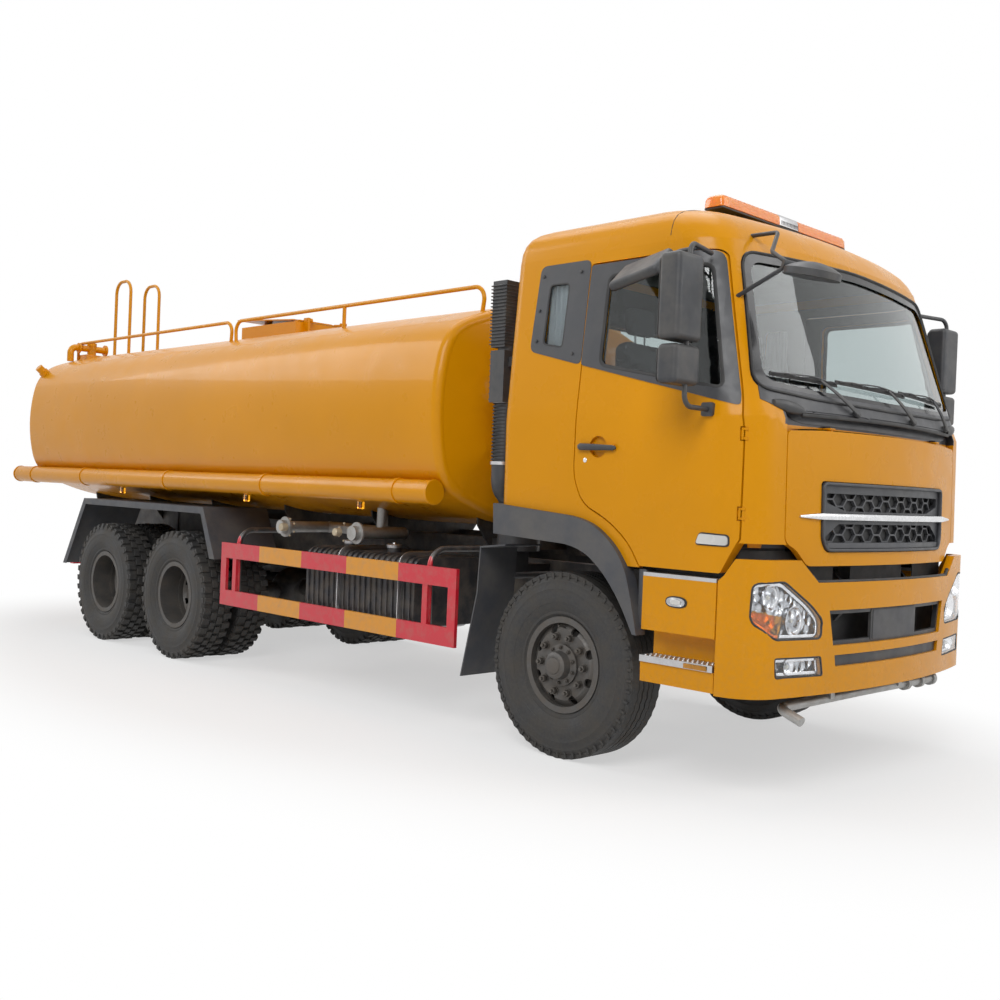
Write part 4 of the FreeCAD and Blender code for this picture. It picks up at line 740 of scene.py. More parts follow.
def guardFinish(name, colours, stops, boardY, rearX):
    # stripes of two colours along the guards' boards; the bent tubes behind them are dark
    f = Finish(name)
    start, stop = ax(stops[0]), ax(stops[-1])
    ramp = f.tree.nodes.new("ShaderNodeValToRGB")
    ramp.color_ramp.interpolation = "CONSTANT"
    elements = ramp.color_ramp.elements
    for n, x in enumerate(stops[:-1]):
        where = (ax(x) - start) / (stop - start)
        element = elements[n] if n < 2 else elements.new(where)
        element.position = where
        element.color = colours[n % 2] + (1.0,)
    fill(f.tree, ramp, {0: f.spread(f.along("X"), start, stop)})
    speck = f.spread(f.noise(16.0, 7.0, 0.65), 0.45, 0.72)
    behind = f.times(f.below(f.maths("ABSOLUTE", f.along("Y")), boardY),
                     f.above(f.along("X"), ax(rearX)))
    base = f.mix(behind, ramp.outputs[0], (0.035, 0.035, 0.038))
    return f.done(f.mix(f.times(speck, 0.28), base, (0.28, 0.22, 0.16)),
                  f.spread(f.noise(8.0, 4.0), 0.3, 0.7, 0.28, 0.42),
                  f.bump(f.noise(320.0, 2.0), 0.00012), coatWeight=0.3, coatRoughness=0.1)


def facetFinish(name):
    # a reflector's backing, broken into bright facets
    f = Finish(name)
    cells = f.add("ShaderNodeTexVoronoi", {"Vector": f.spot, "Scale": 26.0}, "Distance")
    return f.done(f.mix(f.spread(cells, 0.0, 0.6), (0.86, 0.87, 0.88), (0.42, 0.43, 0.45)),
                  f.spread(f.noise(20.0), 0.3, 0.7, 0.10, 0.24), f.bump(cells, 0.012),
                  metallic=1.0)


def beaconFinish(name, colour, deep, transmission):
    # saturated moulded lens, brighter where it is thin
    f = Finish(name)
    wave = f.add("ShaderNodeTexWave", {"Vector": f.spot, "Scale": 22.0}, "Fac",
                 bands_direction="Y")
    return f.done(f.mix(f.spread(f.noise(24.0, 3.0), 0.35, 0.65), deep, colour),
                  f.spread(f.noise(30.0, 2.0), 0.3, 0.7, 0.08, 0.2), f.bump(wave, 0.0012),
                  transmissionWeight=transmission, ior=1.49, coatWeight=0.4,
                  emissionColor=colour, emissionStrength=0.10)


yellow = (0.73, 0.300, 0.001)
guardColours = ((0.62, 0.012, 0.03), (0.72, 0.29, 0.002))
# places of the guards' stripes along the truck, from the rear
guardStops = (-3.62, -3.052, -2.495, -1.946, -1.385, -0.78)

# for each kind of finish: key, material name, then the function's own values in order
finishTable = (
    (paintFinish, (
        # last colours: cabPaint's near-black inside the cab is trim darkened as painted shade, as
        # is roofPaint's grey on the roof's faces that look down
        ("cabPaint", "cabPaint", yellow, 0.12, 0.28, 0.1, (0.045, 0.045, 0.05)),
        ("roofPaint", "roofPaint", yellow, 0.1, 0.28, 0.1, (0.20, 0.195, 0.18), facingDown),
        ("bodyPaint", "bodyPaint", yellow, 0.2),
        ("tankPaint", "tankPaint", yellow, 0.10, 0.3, 0.16))),
    (plasticFinish, (   # colour, roughness, grain, dust
        ("framePaint", "framePaint", (0.03, 0.03, 0.032), 0.5, 120.0, 0.75),
        ("darkPlastic", "darkPlastic", (0.035, 0.037, 0.042), 0.48, 900.0, 0.35),
        ("arch", "archPlastic", (0.065, 0.068, 0.078), 0.55, 700.0, 0.35),
        ("frame", "doorFrameCharcoal", (0.042, 0.044, 0.050), 0.42, 600.0, 0.12),
        ("gloss", "glossBlack", (0.012, 0.012, 0.014), 0.16, 300.0, 0.06),
        ("grille", "grilleGrey", (0.075, 0.077, 0.085), 0.5, 500.0, 0.2),
        ("rubber", "sealRubber", (0.016, 0.016, 0.017), 0.62, 500.0, 0.15),
        ("seat", "seatCloth", (0.10, 0.10, 0.115), 0.85, 380.0, 0.1),
        ("curtain", "curtainCloth", (0.55, 0.56, 0.60), 0.9, 260.0, 0.1, (0.45, 0.45, 0.46)),
        ("plate", "blankPlate", (0.05, 0.05, 0.055), 0.5, 300.0, 0.2),
        ("white", "whiteLens", (0.72, 0.72, 0.70), 0.22, 200.0, 0.1),
        ("bulb", "bulbGlass", (0.85, 0.83, 0.75), 0.15, 100.0, 0.02))),
    (metalFinish, (   # colour, roughness, metallic, grain, dust
        ("chrome", "chromeTrim", (0.78, 0.79, 0.8), 0.12, 1.0, 60.0, 0.08),
        ("silver", "stepAlloy", (0.55, 0.55, 0.56), 0.34, 1.0, 220.0, 0.25),
        ("pipe", "greyPipe", (0.42, 0.42, 0.41), 0.42, 0.65, 90.0, 0.45),
        ("castFlange", "creamFlange", (0.55, 0.47, 0.33), 0.5, 0.2, 80.0, 0.4),
        ("wheel", "wheelSteel", (0.11, 0.105, 0.10), 0.52, 0.55, 70.0, 0.7, (0.13, 0.11, 0.09)),
        ("nut", "nutSteel", (0.12, 0.11, 0.10), 0.45, 0.7, 90.0, 0.5, (0.12, 0.10, 0.08)),
        ("fuel", "fuelTankPaint", (0.045, 0.045, 0.05), 0.42, 0.35, 60.0, 0.45),
        ("lampReflector", "lampReflector", (0.85, 0.85, 0.87), 0.08, 1.0, 40.0, 0.03),
        ("mirror", "mirrorGlass", (0.8, 0.82, 0.83), 0.03, 1.0, 20.0, 0.03))),
    (glassFinish, (
        ("glass", "windowGlass", (0.62, 0.68, 0.68)),
        ("lampGlass", "lampGlass", (0.94, 0.95, 0.96)),
        ("amber", "amberLens", (1.0, 0.42, 0.02), 0.08),
        ("redLens", "redLens", (0.75, 0.01, 0.01), 0.08),
        ("whiteLens", "clearLens", (0.9, 0.9, 0.88), 0.1))),
    (tyreFinish, (("tyre", "tyreRubber"),)),
    (guardFinish, (("guard", "guardStripes", guardColours, guardStops, 1.185, -5.0),)),
    (facetFinish, (("lampFacets", "lampFacets"),)),
    (beaconFinish, (
        ("beaconAmber", "beaconAmber", (1.0, 0.36, 0.004), (0.95, 0.26, 0.002), 0.35),
        ("beaconDeep", "beaconDeep", (0.9, 0.14, 0.002), (0.7, 0.08, 0.001), 0.2))),
)
for finish, rows in finishTable:
    for key, *values in rows:
        finishes[key] = finish(*values)
print("materials built:", len(finishes))


# carried-over nodes: their finish, and the angle above which an edge stays sharp
cadFinish = {
    ("cabPaint", 25): "cab_shell front_flap door_right door_left",
    ("roofPaint", 25): "cab_roof",
    ("bodyPaint", 25): "front_bumper",
    ("bodyPaint", 30): "step_fenders",
    ("tankPaint", 22): "tank_shell",
    ("tankPaint", 30): "manhole_lid",
    ("tankPaint", 35): "hose_tubes spray_head",
    ("tankPaint", 40): "top_rails rear_ladder",
    ("guard", 35): "rear_bar side_guard_right side_guard_left",
    ("arch", 30): "arch_trims mudguards",
    ("silver", 30): "step_treads",
    ("framePaint", 35): "chassis_frame tank_subframe front_axle rear_axles suspension "
                        "engine_block tie_rod knuckle_right knuckle_left",
    ("darkPlastic", 30): "lower_grille flap_grille cab_interior",
    ("darkPlastic", 35): "air_filter air_intake",
    ("darkPlastic", 40): "front_mirror mirror_right mirror_left wipers",
    ("fuel", 35): "fuel_tank battery_box",
    ("pipe", 35): "water_pipes",
    ("pipe", 40): "front_spray_bar",
    ("lampGlass", 30): "lamps",
    ("amber", 30): "light_bar",
    ("seat", 30): "seats",
    ("glass", 30): "cab_glass door_glass_right door_glass_left",
    ("tyre", 30): "front_tyre_right front_tyre_left first_rear_tyres_right "
                  "first_rear_tyres_left second_rear_tyres_right second_rear_tyres_left",
    ("wheel", 30): "front_rim_right front_rim_left first_rear_rims_right "
                   "first_rear_rims_left second_rear_rims_right second_rear_rims_left",
}
for (finish, crease), names in cadFinish.items():
    for name in names.split():
        obj = nodes[name]
        if not obj.material_slots:
            obj.data.materials.append(None)
        for slotItem in obj.material_slots:
            slotItem.material = finishes[finish]
        addTree(obj, "smooth", crease=math.radians(crease))
        obj.modifiers.new("normals", "WEIGHTED_NORMAL").keep_sharp = True
print("materials on the carried-over nodes")


# wheels
tyreShape = {"radius": 0.5392, "casing": 0.522, "frontPitches": 54, "rearPitches": 38,
             "ribs": (-0.088, -0.044, 0.0, 0.044, 0.088), "ribHalf": 0.0175, "edgeHalf": 0.0215,
             "zigzag": 0.0045, "edgeWider": 0.016, "frontDeep": 0.024, "rearDeep": 0.026}
nutShape = {"across": 0.0215, "height": 0.032, "stud": 0.0105, "studHeight": 0.045}


def casing(centre):
    # the tyre without its tread: beads, ringed sidewalls and a flat crown
    half = [(0.0990, 0.2588), (0.1045, 0.2840), (0.1130, 0.2930), (0.1180, 0.2960),
            (0.1205, 0.3050), (0.1190, 0.3120), (0.1290, 0.3300), (0.1372, 0.3560),
            (0.1380, 0.3600), (0.1402, 0.3620), (0.1448, 0.3850), (0.1456, 0.4020),
            (0.1448, 0.4180), (0.1428, 0.4380), (0.1442, 0.4420), (0.1420, 0.4480),
            (0.1375, 0.4680), (0.1340, 0.4840), (0.1350, 0.4880), (0.1290, 0.5060),
            (0.1200, 0.5170), (0.0900, tyreShape["casing"])]
    profile = half + [(0.0, tyreShape["casing"] + 0.001)] + [(-d, r) for d, r in reversed(half)]
    return revolved("casing", profile, centre, rightSide, 112, "tyre", True, 32)


def treadRing(blocks, pitches, centre):
    # one pitch of the tread, repeated round the tyre; a block is its outline of (round the
    # tyre, across), its low and high side and its bevel
    parts = [prism("block", outline, depth, lambda u, v, w: Vector((w, u, v)), "tyre", bevel)
             for outline, depth, bevel in blocks]
    return arranged(joined("tread", parts), "ring", "tyre", count=pitches,
                    radius=tyreShape["radius"], centre=centre)


def frontTread(centre):
    # five ribs with zigzag sides, and sipes at the outer edges
    t = tyreShape
    u = 2 * math.pi * t["radius"] / t["frontPitches"] * 0.503
    zig = t["zigzag"]
    blocks = []
    for n, middle in enumerate(t["ribs"]):
        way = {0: -1, 4: 1}.get(n, 0)
        half = t["edgeHalf"] if way else t["ribHalf"]
        low = middle - half + min(way * t["edgeWider"], 0)
        high = middle + half + max(way * t["edgeWider"], 0)
        blocks.append(([(-u, low + zig), (0, low - zig), (u, low + zig), (u, high + zig),
                        (0, high - zig), (-u, high + zig)], (-t["frontDeep"], 0.0), 0.0))
        if way:
            z0 = middle + way * 0.034
            blocks.append((square(-0.024, -0.010, z0, z0 + way * 0.012), (-0.040, -0.006), 0.0))
    return treadRing(blocks, t["frontPitches"], centre)


def rearTread(centre):
    # deep shoulder lugs that wrap over the edge, and two staggered rows between them
    t = tyreShape
    pitch = 2 * math.pi * t["radius"] / t["rearPitches"]
    deep = (-t["rearDeep"], 0.0)
    blocks = []
    for side in (-1, 1):
        shift = 0.0 if side > 0 else pitch * 0.45
        lug = [(-0.028, 0.066), (0.022, 0.062), (0.027, 0.128), (-0.023, 0.134)]
        blocks.append(([(u + shift, v * side) for u, v in lug], deep, 0.003))
        blocks.append((square(-0.022 + shift, 0.020 + shift, 0.118 * side, 0.1385 * side),
                       (-0.052, -0.016), 0.003))
    for middle, shift in ((-0.030, 0.0), (0.030, pitch * 0.5)):
        blocks.append(([(-0.032 + shift, middle - 0.026), (0.030 + shift, middle - 0.020),
                        (0.032 + shift, middle + 0.024), (-0.028 + shift, middle + 0.028)],
                       deep, 0.003))
    return treadRing(blocks, t["rearPitches"], centre)


def nutRing(centre, pitchRadius, faceDepth, count, scale=1.0, turn=0.0):
    # hexagon nuts on their washers, with the ends of the studs
    across, height, stud, studHeight = (nutShape[key] * scale for key in
                                        ("across", "height", "stud", "studHeight"))
    parts = []
    for radius, corners, low, high, bevel in ((across * 1.25, 12, -0.001, 0.004, 0.0),
                                              (across, 6, 0.003, height, 0.0018),
                                              (stud, 8, height - 0.002, studHeight, 0.001)):
        outline = [(radius * math.cos(a), radius * math.sin(a)) for a in turns(corners)]
        parts.append(prism("nut", outline, (low, high), lambda u, v, w: Vector((u, v, w)), "nut",
                           bevel))
    return arranged(joined("nuts", parts), "ring", "nut", count=count, radius=pitchRadius,
                    turn=turn, centre=centre + rightSide * faceDepth)


# for each axle: joint, tyres across, tread, rings of nuts (pitch radius, face, count, scale,
# turn), the hub's cap (depth, radius) and the valve's points (y, z)
dualNuts = ((0.160, 0.014, 10), (0.112, 0.052, 8, 0.62, 0.2))
dualCap = [(0.127, 0.0), (0.134, 0.0), (0.136, 0.034), (0.132, 0.052), (0.127, 0.056)]
dualValve = ((-0.05, 0.205), (-0.12, 0.222), (-0.20, 0.224))
wheels = {
    "front": ("front_wheel", "front_right_roll", (0.0,), frontTread, "front_tyre",
              ((0.166, 0.100, 10), (0.103, 0.1225, 10, 0.5, 0.3)),
              [(0.181, 0.0), (0.190, 0.0), (0.192, 0.030), (0.188, 0.046), (0.181, 0.050)],
              ((-0.092, 0.215), (-0.118, 0.226), (-0.150, 0.228)), 0.01),
    "first": ("first_twin", "first_right_roll", (-0.17, 0.17), rearTread, "first_rear_tyres",
              dualNuts, dualCap, dualValve, 0.02),
    "second": ("second_twin", "second_right_roll", (-0.17, 0.17), rearTread,
               "second_rear_tyres", dualNuts, dualCap, dualValve, 0.02),
}
for word, (body, joint, offsets, tread, node, rings, cap, valve, bend) in wheels.items():
    centre = Vector(joints[joint]["pos_m"])
    tyres = []
    for offset in offsets:
        middle = centre + Vector((0, offset, 0))
        tyres += [casing(middle), tread(middle)]
    tyres = joined(word + "TyresRight", tyres)
    left = copyOf(tyres, word + "TyresLeft", mirrorY)
    place(tyres, body + "_right", [node + "_right"])
    place(left, body + "_left", [node + "_left"])
    metal = [nutRing(centre, *ring) for ring in rings]
    metal.append(revolved("hubCap", cap, centre, rightSide, 32, "nut", True))
    metal.append(tube("valve", [centre + Vector((0, y, z)) for y, z in valve], 0.005, "nut", bend))
    metal = joined(word + "NutsRight", metal)
    left = copyOf(metal, word + "NutsLeft", mirrorY)
    place(metal, body + "_right")
    place(left, body + "_left")
print("wheels built")


# cab glazing and panels; outlines of (x from the front axle, z) on the right side, and of (y, z)
# for the screen and the rear window
glazing = {"recess": 0.010, "screenBorder": 0.038,
           "screen": [(0, 2.075), (0.700, 2.085), (1.116, 2.118), (1.000, 2.824), (0, 2.850)],
           "screws": ((-0.20, 2.80), (0.09, 2.80), (0.075, 2.33), (-0.215, 2.42),
                      (-0.212, 2.60)),
           "rearWindow": (-0.565, 0.565, 2.175, 2.645), "roofSeamX": 0.70}
# a dark panel round each side window, and the rubber at the window's edge; opening and seal say
# how far the window's outline is grown, its rounding and the steps of it
sideWindows = (
    {"panel": "doorFrame", "rubber": "doorGlassRubber", "body": "door",
     "skins": ("door_right", "door_glass_right"),
     "outline": [(0.1505, 2.262), (0.168, 2.826), (0.955, 2.828), (0.985, 2.817),
                 (1.006, 2.782), (1.190, 2.060), (1.195, 2.012)], "rounding": (0.02, 3),
     "window": [(0.290, 2.765), (0.965, 2.765), (1.120, 2.085), (0.275, 2.245)],
     "opening": (-0.006, 0.055, 6), "seal": (-0.010, 0.052, 6), "lift": 0.0045,
     "depth": 0.0065, "section": (0.022, 0.016)},
    {"panel": "quarterPanel", "rubber": "quarterRubber", "body": "cab",
     "skins": ("cab_shell", "cab_glass"),
     "outline": [(-0.262, 2.362), (-0.226, 2.862), (0.160, 2.862), (0.1455, 2.262)],
     "rounding": (0.045, 5),
     "window": [(-0.160, 2.762), (0.025, 2.758), (0.008, 2.350), (-0.180, 2.386)],
     "opening": (-0.012, 0.035, 5), "seal": (-0.015, 0.033, 5), "lift": 0.003,
     "depth": 0.005, "section": (0.014, 0.014)},
)


def buildGlazing():
    g = glazing
    for w in sideWindows:
        skinName, glassName = w["skins"]
        glassSkin = (skinOf(glassName), g["recess"])
        skins = [skinOf(skinName), glassSkin]
        window = onTruck(w["window"])
        outer = shaped(onTruck(w["outline"]), 0, *w["rounding"])
        panel = skinPanel(w["panel"], outer, skins, rightSide, "frame", w["lift"], w["depth"],
                          0.05, [shaped(window, *w["opening"])])
        pair(panel, w["body"])
        line = skinLine(shaped(window, *w["seal"]), [glassSkin], rightSide, -0.004, 0.05)
        pair(strip(w["rubber"], line, *w["section"], "rubber"), w["body"])
    head = [(0, 0), (0.008, 0), (0.0105, 0.004), (0.009, 0.010), (0, 0.010)]
    screws = [revolved("screw", head, firstHit(skins, rightSide, ax(x), z), rightSide, 12,
                       "darkPlastic", True) for x, z in g["screws"]]
    pair(joined("quarterScrews", screws), "cab")
    # windscreen: black border on the glass and a rubber at its edge
    screen = bothHalves(g["screen"])
    border = skinPanel("screenBorder", shaped(screen, 0.020, 0.10, 6), skins[::-1], front,
                       "gloss", 0.003, 0.004, 0.08,
                       [shaped(screen, -g["screenBorder"], 0.085, 6)])
    place(border, "cab")
    line = skinLine(shaped(screen, 0.012, 0.10, 6), skins, front, 0.004, 0.04)
    place(strip("screenRubber", line, 0.018, 0.012, "rubber"), "cab")
    # rear window rubber on the flat rear wall
    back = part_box("cab_shell")[0].x - 0.003
    line = [(back, y, z) for y, z in roundedOutline(square(*g["rearWindow"]), 0.06)]
    place(strip("rearGlassRubber", line, 0.014, 0.030, "rubber"), "cab")
    # one seam across the roof behind the front hood
    roof = skinOf("cab_roof")
    seam = []
    heart = Vector((ax(g["roofSeamX"]), 0, 2.2))
    for t in shares(60):
        way = Vector((0, -math.cos(math.pi * t) * 2.6, 1.32 + math.sin(math.pi * t) * 1.8))
        hit = roof.ray_cast(heart + way, -way.normalized())[0]
        if hit is not None:
            seam.append(hit + way.normalized() * 0.0004)
    place(strip("roofSeam", seam, 0.004, 0.004, "rubber", False), "cab")
    print("glazing built")


buildGlazing()


# front of the cab
frontShape = {"rows": ((1.158, 1.443), (1.96, 1.430), (2.04, 1.398), (2.90, 1.122)),
              "bow": 4.85}


def frontX(y, z, lift=0.0):
    # the cab's foremost skin at y and z
    rows, bow = frontShape["rows"], frontShape["bow"]
    for (z0, x0), (z1, x1) in zip(rows, rows[1:]):
        if z <= z1:
            break
    middle = x0 + (z - z0) / (z1 - z0) * (x1 - x0)
    return ax(middle - bow + math.sqrt(bow * bow - y * y) + lift)


def onFront(y, z, lift=0.0):
    return Vector((frontX(y, z, lift), y, z))


def frontSheet(name, outline, finish, lift, depth, step, holes=()):
    bm = flatSheet(outline, holes, step)
    for v in bm.verts:
        v.co = onFront(v.co.x, v.co.y, lift)
    return backed(name, bm, depth, front, finish)


grille = {"cellWidth": 0.123, "cellHeight": 0.075, "rib": 0.0045, "depth": 0.018,
          "columns": 16, "rows": 5, "foot": 1.3375, "low": 1.305, "high": 1.632,
          "half": 0.682, "setBack": 0.026,
          "outline": [(0.660, 1.283), (0.700, 1.345), (0.705, 1.654)],
          "backing": [(0.655, 1.292), (0.695, 1.350), (0.700, 1.645)],
          "sill": [(0.640, 1.306), (0.648, 1.333)],
          "windows": ([(0.476, 1.500), (0.642, 1.541), (0.646, 1.592)],
                      [(0.657, 1.334), (0.655, 1.362), (0.540, 1.432)]),
          "barZ": 1.470, "barHalf": 0.870, "barTaper": 0.17}


def buildGrille():
    g = grille
    wide, high = g["cellWidth"], g["cellHeight"]
    corners = [(0.5, 0), (0.25, 0.5), (-0.25, 0.5), (-0.5, 0), (-0.25, -0.5), (0.25, -0.5)]
    bm = bmesh.new()
    rings = [[bm.verts.new((x, u * (wide - 2.3 * shrink), w * (high - 2 * shrink)))
              for u, w in corners] for shrink in (0.0, g["rib"]) for x in (0.0, -g["depth"])]
    for k in range(6):
        m = (k + 1) % 6
        for a, b in ((0, 2), (3, 1), (2, 3)):
            bm.faces.new((rings[a][k], rings[a][m], rings[b][m], rings[b][k]))
    outwardFaces(bm)
    start = Matrix.Translation((0, -0.375 * wide * (g["columns"] - 1), g["foot"]))
    cell = moved(fromBmesh("hexGrille", bm, "grille"), start)
    mesh = arranged(cell, "grid", "grille", columns=g["rows"], rows=g["columns"],
                    columnStep=(0, 0, high), rowStep=(0, 0.75 * wide, 0),
                    stagger=(0, 0, -high / 2))
    bm = bmesh.new()
    bm.from_mesh(mesh.data)
    for at, normal in (((0, 0, g["high"]), (0, 0, 1)), ((0, 0, g["low"]), (0, 0, -1)),
                       ((0, g["half"], 0), (0, 1, 0)), ((0, -g["half"], 0), (0, -1, 0))):
        bmesh.ops.bisect_plane(bm, geom=bm.verts[:] + bm.edges[:] + bm.faces[:], plane_co=at,
                               plane_no=normal, clear_outer=True)
    for v in bm.verts:
        v.co.x += frontX(v.co.y, v.co.z, -g["setBack"])
    bm.to_mesh(mesh.data)
    bm.free()
    place(mesh, "flap")
    outer = shaped(bothHalves(g["outline"]), -0.012, 0.03, 4)
    windows = [roundedOutline(bothHalves(half), 0.012, 3) for half in g["windows"]]
    surround = frontSheet("surround", outer, "frame", -0.009, 0.020, 0.07, windows)
    rim = strip("rim", [onFront(y, z, 0.001) for y, z in evenly(outer, 0.06)], 0.026, 0.016,
                "frame")
    (low, z0), (top, z1) = g["sill"]
    outline = [(-low, z0), (low, z0), (top, z1), (-top, z1)]
    sill = frontSheet("sill", roundedOutline(outline, 0.01, 3), "grille", 0.001, 0.022, 0.08)
    place(joined("grilleFrame", [surround, rim, sill]), "flap")
    place(frontSheet("grilleBacking", bothHalves(g["backing"]), "rubber", -0.046, 0.004, 0.10),
          "flap", ["flap_grille"])
    # the bar across the grille thins out towards both ends
    rings = []
    half = g["barHalf"]
    for y in along(-half, half, 60):
        t = min(1.0, (half - abs(y)) / g["barTaper"])
        rings.append(oval(onFront(y, g["barZ"] - 0.002 * (1 - t), 0.004 + 0.004 * t),
                          (0.006 + 0.006 * t, 0, 0), (0, 0, 0.006 + 0.013 * t), 14, 0.8))
    place(lofted("grilleBar", rings, "chrome"), "flap")
    print("grille built")


# lamps; outlines of (y, z) on the left, bowls and fog lamp of (y, z, radius, set back)
lampShape = {"head": [(0.720, 0.840), (1.060, 0.845), (1.185, 0.930), (1.180, 1.130),
                      (1.010, 1.140), (0.800, 1.010), (0.720, 0.940)],
             "fog": [(0.700, 0.650), (1.050, 0.655), (1.060, 0.755), (0.720, 0.750)],
             "indicator": [(1.030, 0.848), (1.060, 0.850), (1.178, 0.930), (1.176, 0.985),
                           (1.000, 0.960)],
             "bowls": ((0.905, 0.935, 0.072, 0.02464), (1.075, 1.055, 0.062, 0.02344),
                       (0.93, 0.703, 0.042, 0.022)),
             "rearY": 0.560, "rearCase": (0.120, 0.720, 0.880), "paneStep": 0.058,
             "panes": ("redLens", "amber", "redLens", "whiteLens")}


def bowl(centre, radius):
    # a lamp's reflector with its bulb, open to the front
    deep = radius * 0.55
    profile = [(-deep, 0.0), (-deep, radius * 0.2), (-deep * 0.8, radius * 0.5),
               (-deep * 0.4, radius * 0.82), (0.0, radius), (0.0, radius + 0.005),
               (-deep * 0.45, radius * 0.9), (-deep * 0.95, radius * 0.55),
               (-deep - 0.006, 0.0)]
    bulb = [(-deep, 0.0), (-deep, 0.010), (-deep * 0.5, 0.013), (-deep * 0.25, 0.009),
            (-deep * 0.18, 0.0)]
    return [revolved("dish", profile, centre, front, 40, "lampReflector"),
            revolved("bulb", bulb, centre, front, 16, "bulb")]


def buildLamps():
    s = lampShape
    shell = [skinOf("front_bumper", "lamps")]
    glassParts, inner = [], []

    def outlineOf(key, grow, radius, flip, steps=4):
        points = grownOutline(s[key], grow) if grow else s[key]
        return shaped([(-u, w) for u, w in points] if flip else points, 0, radius, steps)

    for key, radius in (("head", 0.035), ("fog", 0.015)):
        for flip in (False, True):
            glassParts.append(skinPanel("glass", outlineOf(key, -0.002, radius, flip), shell,
                                        front, "lampGlass", 0.001, 0.003, 0.05))
            inner.append(skinPanel("back", outlineOf(key, 0, radius, flip), shell, front,
                                   "lampFacets", -0.040, 0.003, 0.045))
            for grow, lift, width, height, finish in (
                    (-0.001, -0.0015, 0.010, 0.012, "rubber"),
                    (-0.004, -0.022, 0.004, 0.040, "lampReflector")):
                line = skinLine(outlineOf(key, grow, radius, flip), shell, front, lift, 0.03)
                inner.append(strip("edge", line, width, height, finish))
    for side in (-1, 1):
        for y, z, radius, setBack in s["bowls"]:
            inner += bowl(firstHit(shell, front, side * y, z) - front * setBack, radius)
        inner.append(skinPanel("indicator", outlineOf("indicator", 0, 0.012, side < 0, 3),
                               shell, front, "amber", -0.006, 0.012, 0.05))
    # rear lamps on their bar: coloured panes in a dark case
    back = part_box("lamps")[0].x
    half, low, high = s["rearCase"]
    for side in (-1, 1):
        y = side * s["rearY"]
        glassParts.append(box("case", (back + 0.008, y - half, low),
                              (back + 0.0297, y + half, high), "darkPlastic", 0.006))
        for k, key in enumerate(s["panes"]):
            y0 = y - half + 0.006 + s["paneStep"] * k
            glassParts.append(box("pane", (back, y0, low + 0.007),
                                  (back + 0.010, y0 + s["paneStep"] - 0.004, high - 0.007),
                                  key, 0.004))
    place(joined("lampLenses", glassParts), "chassis", ["lamps"])
    place(joined("lampInners", inner), "chassis")
    print("lamps built")


valance = {"low": 1.075, "high": 1.285, "skinZ": 1.16, "setBack": 0.085, "thick": 0.004,
           "middle": 0.30, "start": 0.47, "stop": 0.95, "side": 1.150, "corner": 0.20,
           "rear": 0.675,
           "mouldingHalf": 0.80, "mouldingZ": 1.132, "mouldingBend": 0.758,
           "plateX": 1.4665, "plateZ": 0.900, "plateBow": 0.103,
           "coreHalf": 0.95, "coreSetBack": 0.095, "core": (0.64, 1.06)}


def buildValance():
    # dark sheet behind the gap between bumper and cab, with slots for the cab's tilt arms
    v = valance

    def sweep(y0, y1, count, setBack):
        return [(frontX(y, v["skinZ"], -setBack), y) for y in along(y0, y1, count)]

    def upright(path):
        return ribbon("valance", path, v["low"], v["high"], v["thick"], "rubber")

    parts = [upright(sweep(-v["middle"], v["middle"], 8, v["setBack"]))]
    for side in (-1, 1):
        path = [(x, side * y) for x, y in sweep(v["start"], v["stop"], 8, v["setBack"])]
        cx, cy = path[-1][0] - v["corner"], v["side"] - v["corner"]
        for t in shares(8)[1:]:
            a = math.pi / 2 * t
            path.append((cx + v["corner"] * math.cos(a), side * (cy + v["corner"] * math.sin(a))))
        path.append((ax(v["rear"]), side * v["side"]))
        parts.append(upright(path))
    place(joined("gapValance", parts), "chassis")
    # moulding along the middle of the bumper's upper edge, and the lower grille's blank plate
    shell = [skinOf("front_bumper")]
    line = []
    for y in along(-v["mouldingHalf"], v["mouldingHalf"], 40):
        hit = firstHit(shell, front, y, 1.10)
        if hit:
            z = v["mouldingZ"] + max(0.0, abs(y) - v["mouldingBend"]) * 0.82
            line.append(Vector((hit.x - 0.016, hit.y, z)))
    place(tube("bumperMoulding", line, 0.011, "rubber"), "chassis")
    plate = []
    for half, lift, depth, finish in ((0.262, 0.004, 0.016, "darkPlastic"),
                                      (0.245, 0.007, 0.004, "plate")):
        outline = square(-half, half, v["plateZ"] - half * 0.35, v["plateZ"] + half * 0.30)
        bm = flatSheet(roundedOutline(outline, 0.012, 3), (), 0.06)
        for p in bm.verts:
            u, w = p.co.x, p.co.y
            p.co = Vector((ax(v["plateX"]) - v["plateBow"] * u * u + lift, u, w))
        plate.append(backed("plate", bm, depth, front, finish))
    place(joined("blankPlate", plate), "chassis")
    # dark core behind the lower openings
    path = sweep(-v["coreHalf"], v["coreHalf"], 16, v["coreSetBack"])
    place(ribbon("coolerCore", path, *v["core"], v["thick"], "rubber"), "chassis")
    print("valance built")


# the cowl below the windscreen, and the wipers as y of (pivot, elbow, blade's outer end)
cowl = {"outline": [(0.0, 1.942), (0.800, 1.945), (0.880, 1.958), (0.935, 2.000),
                    (1.060, 2.028), (1.112, 2.050), (1.105, 2.125), (0.700, 2.100),
                    (0.0, 2.090)],
        "lipHalf": 0.86, "lipZ": 1.985, "pivotZ": 2.020, "elbowZ": 2.180,
        "wipers": ((-0.395, -0.690, -1.040), (0.246, -0.031, -0.531), (0.800, 0.615, 0.138)),
        # a blade's bows: start and stop along it, lift, height, rise of both, and the section
        "bows": ((0.04, 0.34, 0.020, 2.188, 0.016, 0.006, 0.008, 0.006),
                 (0.40, 0.72, 0.020, 2.188, 0.016, 0.006, 0.008, 0.006),
                 (0.76, 0.97, 0.020, 2.188, 0.016, 0.006, 0.008, 0.006),
                 (0.18, 0.82, 0.026, 2.190, 0.018, 0.010, 0.010, 0.007))}


